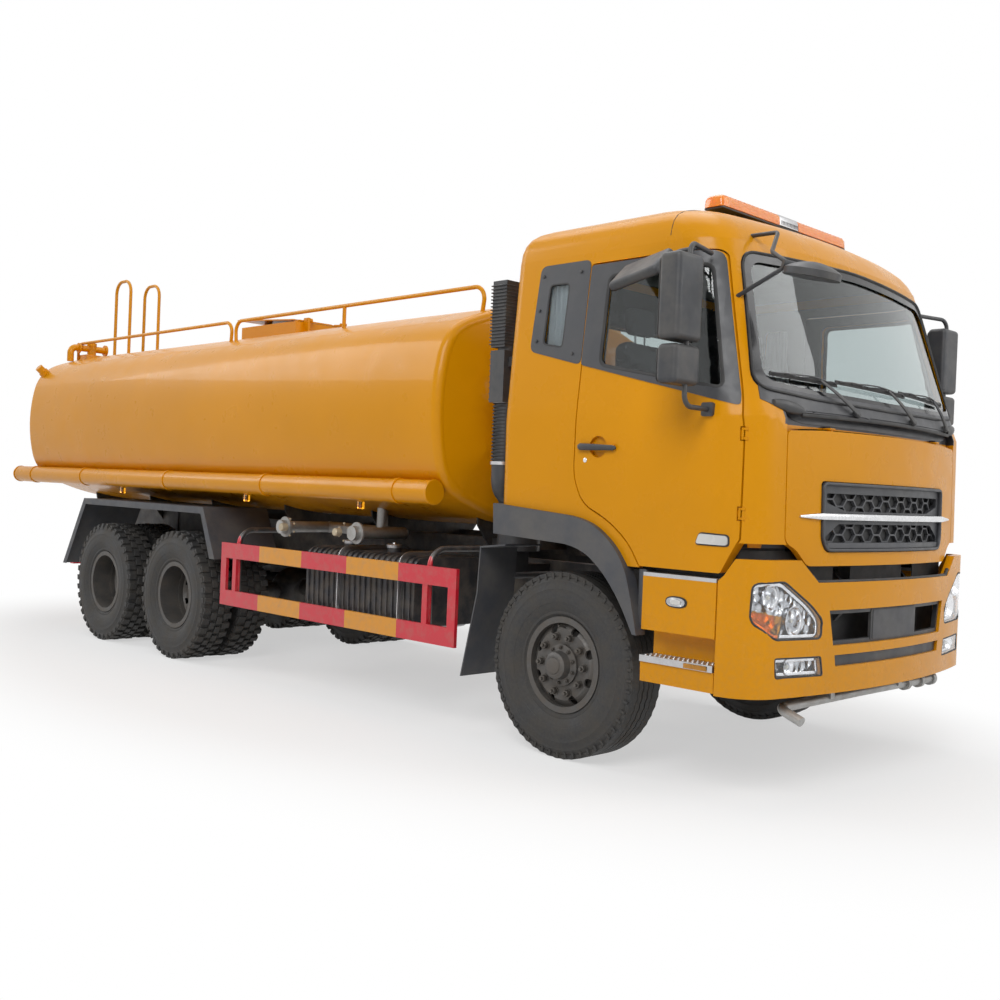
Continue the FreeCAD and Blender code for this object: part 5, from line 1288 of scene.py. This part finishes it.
def wiper(pivot, elbow, tip):
    # pivot cap, tapered arm, and a blade carried by sprung bows
    base = onFront(pivot, cowl["pivotZ"])
    joint = onFront(elbow, cowl["elbowZ"], 0.040)
    cap = [(-0.006, 0), (-0.006, 0.022), (0.012, 0.022), (0.028, 0.016), (0.034, 0.0)]
    parts = [revolved("pivotCap", cap, base, (1, 0, 0.2), 20, "darkPlastic")]
    rings = []
    for t in shares(8):
        p = (base + front * 0.022).lerp(joint, t) + front * 0.010 * math.sin(math.pi * t)
        size = 0.013 - 0.006 * t
        rings.append(oval(p, (size * 0.6, 0, 0), (0, size * 0.8, size * 0.8), 8, 0.7))
    parts.append(lofted("arm", rings, "darkPlastic"))
    end = elbow + (elbow - tip) * 0.5

    def onBlade(t, skinZ, lift, z):
        y = tip + (end - tip) * t
        return Vector((frontX(y, skinZ, lift), y, z - 0.017 * t))

    blade = [onBlade(t, 2.178, 0.014, 2.185) for t in shares(10)]
    parts.append(strip("blade", blade, 0.006, 0.022, "rubber", False))
    for a, b, lift, z, out, rise, width, height in cowl["bows"]:
        bow = [onBlade(a + (b - a) * s, 2.18, lift + out * math.sin(math.pi * s),
                       z + rise * math.sin(math.pi * s)) for s in shares(8)]
        parts.append(strip("bow", bow, width, height, "darkPlastic", False))
    return parts


def buildCowl():
    skins = [skinOf("cab_shell"), (skinOf("cab_glass"), glazing["recess"])]
    panel = skinPanel("panel", bothHalves(cowl["outline"]), skins, front, "frame", 0.0035,
                      0.004, 0.025)
    lip = [Vector((frontX(y, cowl["lipZ"], 0.001), y, cowl["lipZ"] + 0.010 * (1 - abs(y) / 0.9)))
           for y in along(-cowl["lipHalf"], cowl["lipHalf"], 40)]
    parts = [panel, strip("lip", lip, 0.014, 0.020, "rubber", False)]
    for side in (-1, 1):
        rings = []
        for t in shares(8):
            size = 0.020 * math.sin(math.pi * (0.12 + 0.76 * t)) + 0.006
            rings.append(oval(onFront(side * (0.845 + 0.20 * t), 2.006 + 0.030 * t, 0.004),
                              (size, 0, 0), (0, 0, size * 1.25)))
        parts.append(lofted("end", rings, "darkPlastic"))
    place(joined("cowl", parts), "cab")
    place(joined("wiperSet", sum([wiper(*w) for w in cowl["wipers"]], [])), "cab",
          ["wipers"])
    print("cowl and wipers built")


beacon = {"rear": 0.555, "front": 0.695, "low": 3.190, "high": 3.262, "middle": 0.105,
          "straight": 0.655, "ends": ((0.678, 0.004), (0.691, 0.012), (0.698, 0.024)),
          "ribs": 12, "ribStep": 0.047, "caseRibStep": 0.016, "trayHalf": 0.688,
          "trayLow": 3.178, "feet": (-0.42, 0.42)}


def buildBeacon():
    b = beacon
    x0, x1 = ax(b["rear"]), ax(b["front"])
    cx = (x0 + x1) / 2

    def section(y, shrink):
        # flat below, rounded above
        wide, high = (x1 - x0) / 2 - shrink, b["high"] - b["low"] - shrink - 0.012
        ring = [Vector((cx + wide, y, b["low"])), Vector((cx - wide, y, b["low"]))]
        for t in shares(8):
            ring.append(Vector((cx - wide * squared(math.cos(math.pi * t), 0.6), y,
                                b["low"] + 0.012 + high * math.sin(math.pi * t) ** 0.6)))
        return ring

    def ribs(name, start, half, thick, low, high, step, finish, bevel=0.0):
        rib = box(name, (cx - half, start - thick, low), (cx + half, start + thick, high),
                  finish, bevel, 1)
        return inLine(rib, finish, b["ribs"], (0, step, 0))

    parts = []
    for side in (-1, 1):
        inner = b["middle"] + 0.02
        stops = [(b["middle"] + 0.004, 0.0)]
        stops += [(y, 0.0) for y in along(inner, b["straight"], 10)]
        rings = [section(side * y, shrink) for y, shrink in stops + list(b["ends"])]
        parts.append(lofted("dome", rings, "beaconAmber", 35))
        # upright ribs inside the dome
        start = b["middle"] + 0.03 if side > 0 else -b["straight"]
        parts.append(ribs("rib", start, 0.060, 0.0015, b["low"] + 0.002, b["high"] - 0.012,
                          b["ribStep"], "beaconDeep"))
    rings = [section(y, shrink) for y, shrink in (
        (-b["middle"], 0.001), (-b["middle"] + 0.012, -0.002),
        (b["middle"] - 0.012, -0.002), (b["middle"], 0.001))]
    parts.append(lofted("case", rings, "silver", 30))
    parts.append(ribs("caseRib", -0.088, 0.073, 0.003, b["low"] + 0.006, b["low"] + 0.030,
                      b["caseRibStep"], "darkPlastic", 0.001))
    parts.append(box("tray", (x0 + 0.006, -b["trayHalf"], b["trayLow"]),
                     (x1 - 0.006, b["trayHalf"], b["low"] + 0.0005), "darkPlastic", 0.004))
    roof = skinOf("cab_roof")
    for y in b["feet"]:
        low = roof.ray_cast(Vector((cx, y, 4)), -upwards)[0].z - 0.004
        parts.append(box("foot", (cx - 0.035, y - 0.03, low),
                         (cx + 0.035, y + 0.03, b["trayLow"] + 0.001), "darkPlastic", 0.006))
    place(joined("beaconBar", parts), "cab", ["light_bar"])
    print("beacon bar built")


buildGrille()
buildLamps()
buildValance()
buildCowl()
buildBeacon()


# sides; outlines of (x from the front axle, z), marker and handle on the right side
sideParts = {"turnLamp": [(0.985, 1.302), (1.180, 1.300), (1.178, 1.362), (1.010, 1.368)],
             "marker": (0.890, 0.998, 0.068, 0.030), "handle": (0.180, 0.452, 1.800, -1.256),
             "lock": (0.225, 1.725), "underTubes": (-5.482, -3.375, -1.910),
             "tubeY": -1.150, "tubeZ": 1.507, "treadAmber": (0.955, 1.100, 0.668, 0.694),
             "studs": (14, 4), "studStep": (0.030, 0.024), "studStart": (0.700, 0.7002),
             "infill": ((0.622, 0.020, 0.850), (0.672, 0.120, 1.150)),
             "bracketZ": (1.420, 1.442), "bracketLens": 1.368,
             # the marker's layers: size, points, finish, lift, depth and the sheet's step
             "markerLayers": ((1.0, 1.0, 20, "rubber", 0.004, 0.010, 0.03),
                              (0.86, 0.78, 20, "lampFacets", 0.009, 0.008, 0.02),
                              (0.5, 0.45, 16, "white", 0.011, 0.008, 0.02))}


def buildSides():
    s = sideParts
    door, fender = [skinOf("door_right")], [skinOf("step_fenders")]
    outline = onTruck(s["turnLamp"])
    rim = skinPanel("rim", roundedOutline(outline, 0.022, 4), door, rightSide, "rubber", 0.004,
                    0.008, 0.03)
    lens = skinPanel("lens", shaped(outline, -0.007, 0.016, 4), door, rightSide, "white", 0.012,
                     0.010, 0.03)
    pair(joined("turnLamp", [rim, lens]), "door")
    # black grip over the handle's bar, and the lock below its rear end
    x0, x1, z, y = s["handle"]
    rings = []
    for t in shares(16):
        fat = 1.0 - 0.25 * t - (0.45 if t in (0, 1) else 0.0)
        rings.append(oval((ax(x0 + (x1 - x0) * t), y, z - 0.006 * t), (0, 0.013 * fat, 0),
                          (0, 0, 0.020 * fat), 14, 0.7))
    profile = [(-0.002, 0), (-0.002, 0.013), (0.003, 0.013), (0.005, 0.010), (0.005, 0.004),
               (0.003, 0.0)]
    lock = revolved("lock", profile, firstHit(door, rightSide, ax(s["lock"][0]), s["lock"][1]),
                    rightSide, 20, "chrome")
    pair(joined("doorGrip", [lofted("grip", rings, "darkPlastic"), lock]), "door")
    # side marker
    cx, cz, a, b = s["marker"]
    marker = []
    for wide, high, count, finish, lift, depth, step in s["markerLayers"]:
        marker.append(skinPanel("marker", ovalOutline(ax(cx), cz, a * wide, b * high, count, 0.8),
                                fender, rightSide, finish, lift, depth, step))
    pair(joined("sideMarker", marker), "chassis")
    # reflector on the step's edge, and raised studs over its top
    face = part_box("step_treads")[0].y
    x0, x1, z0, z1 = s["treadAmber"]
    pair(box("treadReflector", (ax(x0), face - 0.004, z0), (ax(x1), face + 0.006, z1), "amber",
             0.003), "chassis")
    stud = revolved("treadStuds", [(0, 0), (0.0, 0.0085), (0.003, 0.0065), (0.003, 0.0)],
                    (0, 0, 0), upwards, 10, "silver")
    x, z = s["studStart"]
    stud = moved(stud, Matrix.Translation((ax(x), face + 0.018, z)))
    stepX, stepY = s["studStep"]
    pair(arranged(stud, "grid", "silver", columns=s["studs"][0], rows=s["studs"][1],
                  columnStep=(stepX, 0, 0), rowStep=(0, stepY, 0), stagger=(stepX / 2, 0, 0)),
         "chassis")
    # dark infill between the wheel arch and the step
    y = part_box("step_fenders")[0].y
    (x0, y0, z0), (x1, y1, z1) = s["infill"]
    pair(box("archInfill", (ax(x0), y + y0, z0), (ax(x1), y + y1, z1), "arch", 0.006), "chassis")
    # marker lamps on brackets below the hose tubes, and the tubes' caps
    lamps = []
    y, (z0, z1) = s["tubeY"], s["bracketZ"]
    for x in (ax(x) for x in s["underTubes"]):
        lamps.append(box("bracket", (x - 0.026, y - 0.014, z0), (x + 0.026, y + 0.014, z1),
                         "bodyPaint", 0.003))
        lamps.append(box("lens", (x - 0.024, y - 0.020, s["bracketLens"]),
                         (x + 0.024, y + 0.016, z0), "amber", 0.006, 3))
    pair(joined("tubeMarkers", lamps), "chassis")
    lo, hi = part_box("hose_tubes")
    profile = [(-0.014, 0.0), (-0.014, 0.083), (-0.002, 0.085), (0.004, 0.080), (0.005, 0.0)]
    caps = [revolved("cap", profile, (x, s["tubeY"], s["tubeZ"]), (way, 0, 0), 40, "tankPaint")
            for x, way in ((lo.x, -1), (hi.x, 1))]
    pair(joined("tubeCaps", caps), "chassis")
    print("sides built")


# mirror glasses, as their middle (y, z) and half sizes, on the heads' rear faces at x
mirrors = {"x": 0.945, "main": (-1.475, 2.525, 0.088, 0.195),
           "small": (-1.475, 2.190, 0.086, 0.082)}


def buildMirrors():
    # a glass in each head's rear face, with a dark bezel round it
    x = ax(mirrors["x"])
    parts = []
    for key in ("main", "small"):
        y, z, a, b = mirrors[key]
        outline = roundedOutline(square(y - a, y + a, z - b, z + b), 0.025, 4)
        parts.append(prism("glass", outline, (-0.003, 0.0035),
                           lambda u, v, w: Vector((x + w, u, v)), "mirror"))
        parts.append(strip("bezel", [(x - 0.002, u, v) for u, v in evenly(outline, 0.05)],
                           0.007, 0.008, "rubber"))
    pair(joined("mirrorFaces", parts), "door")
    print("mirrors built")


# fins as (low, high, count, how far they stand out)
snorkel = {"x": (-0.680, -0.560), "y": (-1.135, -0.985),
           "fins": ((2.44, 2.80, 18, 0.010), (2.10, 2.38, 9, 0.004)),
           "bellowsZ": 1.900, "bellows": 0.175, "folds": 16, "clamps": (1.705, 2.088)}


def buildSnorkel():
    x0, x1 = (ax(v) for v in snorkel["x"])
    y0, y1 = snorkel["y"]
    parts = []
    for low, high, count, grow in snorkel["fins"]:
        fin = box("fin", (x0 - grow, y0 - grow, low - 0.0035),
                  (x1 + grow * 0.2, y1 + grow * 0.2, low + 0.0035), "darkPlastic", 0.002, 1)
        parts.append(inLine(fin, "darkPlastic", count, (0, 0, (high - low) / (count - 1))))
    # bellows below, with a clamp at each end
    cx, cy, half = (x0 + x1) / 2, (y0 + y1) / 2, snorkel["bellows"]
    profile = [(-half - 0.015, 0.0), (-half - 0.015, 0.056)]
    for z in along(-half, half, snorkel["folds"]):
        profile += [(z - 0.006, 0.058), (z, 0.070), (z + 0.006, 0.070)]
    profile += [(half + 0.015, 0.056), (half + 0.015, 0.0)]
    parts.append(revolved("bellows", profile, (cx, cy, snorkel["bellowsZ"]), upwards, 36,
                          "rubber", False, 30))
    profile = [(-0.010, 0.060), (-0.010, 0.073), (0.010, 0.073), (0.010, 0.060)]
    for z in snorkel["clamps"]:
        parts.append(revolved("clamp", profile, (cx, cy, z), upwards, 36, "silver", True))
    place(joined("intakeFins", parts), "cab")
    print("intake built")


fuel = {"x": (-2.56, -1.40), "y": (-1.10, -0.48), "z": (0.60, 1.06), "ribs": 20,
        "corner": 0.07, "straps": (-2.17, -1.49), "strapBolt": 0.955,
        "caps": (-2.33, -1.83), "capY": -0.900,
        "capZ": 1.100, "outlets": (-2.88, -2.20), "outletZ": 1.19, "bolts": 6,
        "boltCircle": 0.063, "boltY": -1.0665, "plugY": -1.112}


def buildFuelTank():
    f = fuel
    y0, y1 = f["y"]
    z0, z1 = f["z"]
    start, stop = f["x"]

    def loopRound(x, grow, corner):
        outline = square(y0 - grow, y1 + grow, z0 - grow, z1 + grow)
        return [(ax(x), u, v) for u, v in roundedOutline(outline, corner)]

    rib = strip("rib", loopRound(start, 0.001, f["corner"]), 0.012, 0.022, "fuel")
    parts = [inLine(rib, "fuel", f["ribs"], ((stop - start) / (f["ribs"] - 1), 0, 0))]
    bolt = [(-0.03, 0), (-0.03, 0.009), (0.05, 0.009), (0.05, 0)]
    for x in f["straps"]:
        parts.append(strip("strap", loopRound(x, 0.008, f["corner"] + 0.007), 0.006, 0.062,
                           "silver"))
        parts.append(revolved("bolt", bolt, (ax(x), y0 - 0.016, f["strapBolt"]), upwards, 10,
                              "silver"))
    cap = [(0, 0.0), (0, 0.054), (0.020, 0.056), (0.026, 0.050), (0.026, 0.014), (0.036, 0.010),
           (0.036, 0.0)]
    parts += [revolved("cap", cap, (ax(x), f["capY"], f["capZ"]), upwards, 28, "silver")
              for x in f["caps"]]
    place(joined("fuelTankFittings", parts), "chassis")
    # flange bolts and plugs of the water outlets
    bolt = [(0, 0), (0, 0.008), (0.008, 0.008), (0.008, 0.0)]
    plug = [(-0.006, 0), (-0.006, 0.030), (0.040, 0.030), (0.046, 0.024), (0.046, 0)]
    parts = []
    for x in f["outlets"]:
        heart = Vector((ax(x), 0, f["outletZ"]))
        for k in range(f["bolts"]):
            turn = Matrix.Rotation(2 * math.pi * k / f["bolts"], 4, "Y")
            turn = Matrix.Translation(heart) @ turn @ Matrix.Translation(-heart)
            spot = heart + Vector((0, f["boltY"], f["boltCircle"]))
            parts.append(moved(revolved("bolt", bolt, spot, rightSide, 6, "castFlange", False,
                                        20), turn))
        parts.append(revolved("plug", plug, heart + Vector((0, f["plugY"], 0)), rightSide, 8,
                              "castFlange", False, 25))
    place(joined("flangeBolts", parts), "chassis")
    print("fuel tank and outlets dressed")


buildSides()
buildMirrors()
buildSnorkel()
buildFuelTank()


# inside the cab; back and head as four corners of (x from the front axle, z) and half a width
seating = {"y": 0.600, "base": ((0.150, 0.610), 0.185, 1.648),
           "cushion": ((0.12, 0.66), (0.35, 0.85), (1.652, 1.790)),
           "back": (((0.130, 1.7906), (0.260, 1.7906), (0.130, 2.4906), (0.020, 2.4906)), 0.233),
           "head": (((0.025, 2.491), (0.115, 2.491), (0.095, 2.681), (0.015, 2.681)), 0.118),
           "posts": ((0.068, 2.44), (0.064, 2.56), 0.045, 0.006), "margin": 0.014,
           "pressure": 4.0, "voxel": 0.012, "frames": 20, "fill": 0.7}


def pillow(obj):
    # blows the closed form up a little as sewn cloth, then keeps the result
    remesh = obj.modifiers.new("remesh", "REMESH")
    remesh.mode = "VOXEL"
    remesh.voxel_size = seating["voxel"]
    obj = applied(obj)
    group = obj.vertex_groups.new(name="hold")
    group.add(range(len(obj.data.vertices)), 0.0, "REPLACE")
    cloth = obj.modifiers.new("cloth", "CLOTH")
    settings = {"quality": 5, "mass": 0.3, "tension_stiffness": 30, "compression_stiffness": 30,
                "shear_stiffness": 15, "bending_stiffness": 4, "use_pressure": True,
                "uniform_pressure_force": seating["pressure"], "vertex_group_mass": "hold"}
    for key, value in settings.items():
        setattr(cloth.settings, key, value)
    cloth.settings.effector_weights.gravity = 0
    cloth.point_cache.frame_start = 1
    cloth.point_cache.frame_end = seating["frames"]
    scene = bpy.context.scene
    for frameNumber in range(1, seating["frames"] + 1):
        scene.frame_set(frameNumber)
        bpy.context.evaluated_depsgraph_get()
    obj = applied(obj)
    scene.frame_set(1)
    return obj


def cushion(name, lo, hi):
    # a block with rounded edges
    bm = bmesh.new()
    bmesh.ops.create_cube(bm, size=1.0)
    size, middle = (hi - lo), (hi + lo) / 2
    bmesh.ops.subdivide_edges(bm, edges=bm.edges[:], cuts=7, use_grid_fill=True)
    for v in bm.verts:
        soft = Vector([squared(c * 2, 0.9) for c in v.co])
        n = sum(abs(c) ** 8 for c in soft) ** (1 / 8)
        v.co = soft / max(n, 1e-6) * max(abs(c) for c in soft) * 0.5
        v.co = v.co * size + middle
    return fromBmesh(name, bm, "seat", 60)


def buildSeats():
    s = seating
    (x0, x1), baseHalf, baseTop = s["base"]
    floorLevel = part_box("seats")[0].z
    for side, label in ((-1, "Right"), (1, "Left")):
        across = Vector((0, side * s["y"], 0))
        base = box("seatBase" + label, (ax(x0), across.y - baseHalf, floorLevel),
                   (ax(x1), across.y + baseHalf, baseTop), "darkPlastic", 0.02, 3)
        place(base, "cab", ["seats"] if side < 0 else ())
        (low, high), ys, (z0, z1) = s["cushion"]
        y0, y1 = sorted(side * y for y in ys)
        blocks = [cushion("seatCushion" + label, Vector((ax(low) + 0.012, y0 + 0.012, z0 + 0.006)),
                          Vector((ax(high) - 0.012, y1 - 0.012, z1 - 0.012)))]
        for key in ("back", "head"):
            corners, half = s[key]
            a, b, c, d = (Vector((ax(x), 0, z)) for x, z in corners)
            bottom, top = (a + b) / 2, (c + d) / 2
            thick = (corners[1][0] - corners[0][0]) / 2 - s["margin"]
            reach = Vector((thick, half, (top - bottom).length / 2 - s["margin"]))
            block = cushion("seat" + key.capitalize() + label, -reach, reach)
            turn = Matrix.Rotation(math.atan2((top - bottom).x, (top - bottom).z), 4, "Y")
            blocks.append(moved(block, Matrix.Translation((bottom + top) / 2 + across) @ turn))
        for block in blocks:
            name = block.name
            block = pillow(block)
            block.name = name
            place(block, "cab")
        (lowX, lowZ), (highX, highZ), apart, radius = s["posts"]
        posts = [tube("post", [(ax(lowX), across.y + y, lowZ), (ax(highX), across.y + y, highZ)],
                      radius, "silver") for y in (-apart, apart)]
        place(joined("headPosts" + label, posts), "cab")
    print("seats built")


drape = {"x": (-0.20, 0.045), "z": (2.33, 2.80), "y": 1.150, "pleats": 6, "deep": 0.012,
         "columns": 96, "rows": 24, "railRadius": 0.006, "railPast": 0.02, "railAbove": 0.008}


def buildCurtains():
    d = drape
    x0, x1 = (ax(v) for v in d["x"])
    z0, z1 = d["z"]

    def spot(t, v):
        # t runs along the rail and v up the curtain; the pleats deepen downwards
        phase = 2 * math.pi * d["pleats"] * t + 0.5 * math.sin(3 * t * math.pi)
        deep = d["deep"] * (0.55 + 0.45 * (1 - v)) * (1 + 0.25 * math.sin(5 * t))
        return (x0 + (x1 - x0) * (t + 0.012 * math.sin(phase * 0.5 + 3 * v)),
                d["y"] + deep * math.cos(phase), z0 + (z1 - z0) * v + 0.002 * math.sin(phase))

    for side, name in ((-1, "curtainRight"), (1, "curtainLeft")):
        bm = bmesh.new()
        grid = [[bm.verts.new((x, side * y, z)) for x, y, z in
                 (spot(t, v) for v in shares(d["rows"]))] for t in shares(d["columns"])]
        for here, there in zip(grid, grid[1:]):
            for j in range(d["rows"]):
                bm.faces.new((here[j], there[j], there[j + 1], here[j + 1]))
        height = z1 - z0
        flat = (sum(f.calc_area() for f in bm.faces) / height, height)
        cloth = fromBmesh(name, bm, "curtain", 180)
        place(cloth, "cab")
        ends = [(x, side * d["y"], z1 + d["railAbove"])
                for x in (x0 - d["railPast"], x1 + d["railPast"])]
        rail = tube(name + "Rail", ends, d["railRadius"], "silver")
        place(rail, "cab")
    print("curtains built, each cut", round(flat[0], 3), "by", round(height, 3))


buildSeats()
buildCurtains()


# studio: a plain pale floor, a pale world and four soft lamps; the floor shows as plain white
# past an oval with these half-axes, and fades towards it from a share of them
studio = {"worldStrength": 0.55, "floorSize": 60.0, "floor": (0.90, 0.90, 0.90),
          "oval": (6.8, 3.6), "fadeFrom": 0.62, "leastWhite": 0.55, "aimZ": 1.4,
          "lamps": (("key", (9.0, -12.0, 11.0), 8.0, 1500.0),
                    ("fill", (12.0, 4.0, 7.0), 8.0, 500.0),
                    ("back", (-12.0, -8.0, 10.0), 8.0, 700.0),
                    ("top", (-1.0, 1.0, 13.0), 10.0, 600.0))}


def shownWhite(tree, shader, glow, output, share=None):
    # shows the glow in place of the shader to the camera and in reflections and glass
    rays = tree.nodes.new("ShaderNodeLightPath").outputs
    seen = maths(tree, "MAXIMUM", rays["Is Camera Ray"], rays["Is Glossy Ray"])
    seen = maths(tree, "MAXIMUM", seen, rays["Is Transmission Ray"])
    if share is not None:
        seen = maths(tree, "MULTIPLY", seen, share)
    mixed = add(tree, "ShaderNodeMixShader", {0: seen, 1: shader.outputs[0], 2: glow})
    fill(tree, tree.nodes[output], {"Surface": mixed})


def buildStudio():
    scene = bpy.context.scene
    scene.view_settings.view_transform = "Standard"
    world = bpy.data.worlds.new("studio")
    scene.world = world
    world.use_nodes = True
    tree = world.node_tree
    light = tree.nodes["Background"]
    fill(tree, light, {"Strength": studio["worldStrength"]})
    white = add(tree, "ShaderNodeBackground", {"Color": (1, 1, 1), "Strength": 1.0})
    shownWhite(tree, light, white, "World Output")
    bm = bmesh.new()
    half = studio["floorSize"] / 2
    bm.faces.new([bm.verts.new((x, y, -0.001)) for x, y in square(-half, half, -half, half)])
    floor = fromBmesh("floor", bm)
    material = bpy.data.materials.new("studioFloor")
    material.use_nodes = True
    floor.data.materials.append(material)
    tree = material.node_tree
    shader = tree.nodes["Principled BSDF"]
    fill(tree, shader, {"Roughness": 0.9, "Specular IOR Level": 0.1,
                        "Base Color": studio["floor"]})
    spot = add(tree, "ShaderNodeTexCoord", out="Object")
    squares = []
    for axisName, size in zip("XY", studio["oval"]):
        part = add(tree, "ShaderNodeSeparateXYZ", {0: spot}, axisName)
        part = maths(tree, "MULTIPLY", part, 1 / size)
        squares.append(maths(tree, "MULTIPLY", part, part))
    far = maths(tree, "POWER", maths(tree, "ADD", *squares), 0.5)
    fade = add(tree, "ShaderNodeMapRange",
               {"Value": far, "From Min": studio["fadeFrom"], "From Max": 1.0,
                "To Min": studio["leastWhite"]}, interpolation_type="SMOOTHSTEP")
    shownWhite(tree, shader, add(tree, "ShaderNodeEmission"), "Material Output", fade)
    for name, spot, size, power in studio["lamps"]:
        lamp = bpy.data.lights.new(name, "AREA")
        lamp.shape, lamp.size, lamp.energy = "SQUARE", size, power
        holder = makeObject(name, lamp)
        holder.location = spot
        aim = Vector((0, 0, studio["aimZ"])) - Vector(spot)
        holder.rotation_euler = aim.to_track_quat("-Z", "Y").to_euler()


view = {"place": (4.3901, -6.0107, 1.542), "turn": 45.355, "pitch": -0.528, "lean": 2.32,
        "lens": 40.74, "sensor": 36.0, "far": 200.0}


def buildCamera():
    # stands in front of the right corner at eye height, leaning a little to one side
    a, p, r = (math.radians(view[k]) for k in ("turn", "pitch", "lean"))
    forward = Vector((-math.sin(a) * math.cos(p), math.cos(a) * math.cos(p), math.sin(p)))
    right = Vector((math.cos(a), math.sin(a), 0))
    up = right.cross(forward)
    leaned = right * math.cos(r) + up * math.sin(r)
    upright = up * math.cos(r) - right * math.sin(r)
    camera = bpy.data.cameras.new("camera")
    camera.lens = view["lens"]
    camera.sensor_width = view["sensor"]
    camera.clip_end = view["far"]
    holder = makeObject("camera", camera)
    turn = Matrix((leaned, upright, -forward)).transposed().to_4x4()
    x, y, z = view["place"]
    holder.matrix_world = Matrix.Translation((ax(x), y, z)) @ turn
    bpy.context.scene.camera = holder


buildStudio()
buildCamera()
print("studio and camera set")
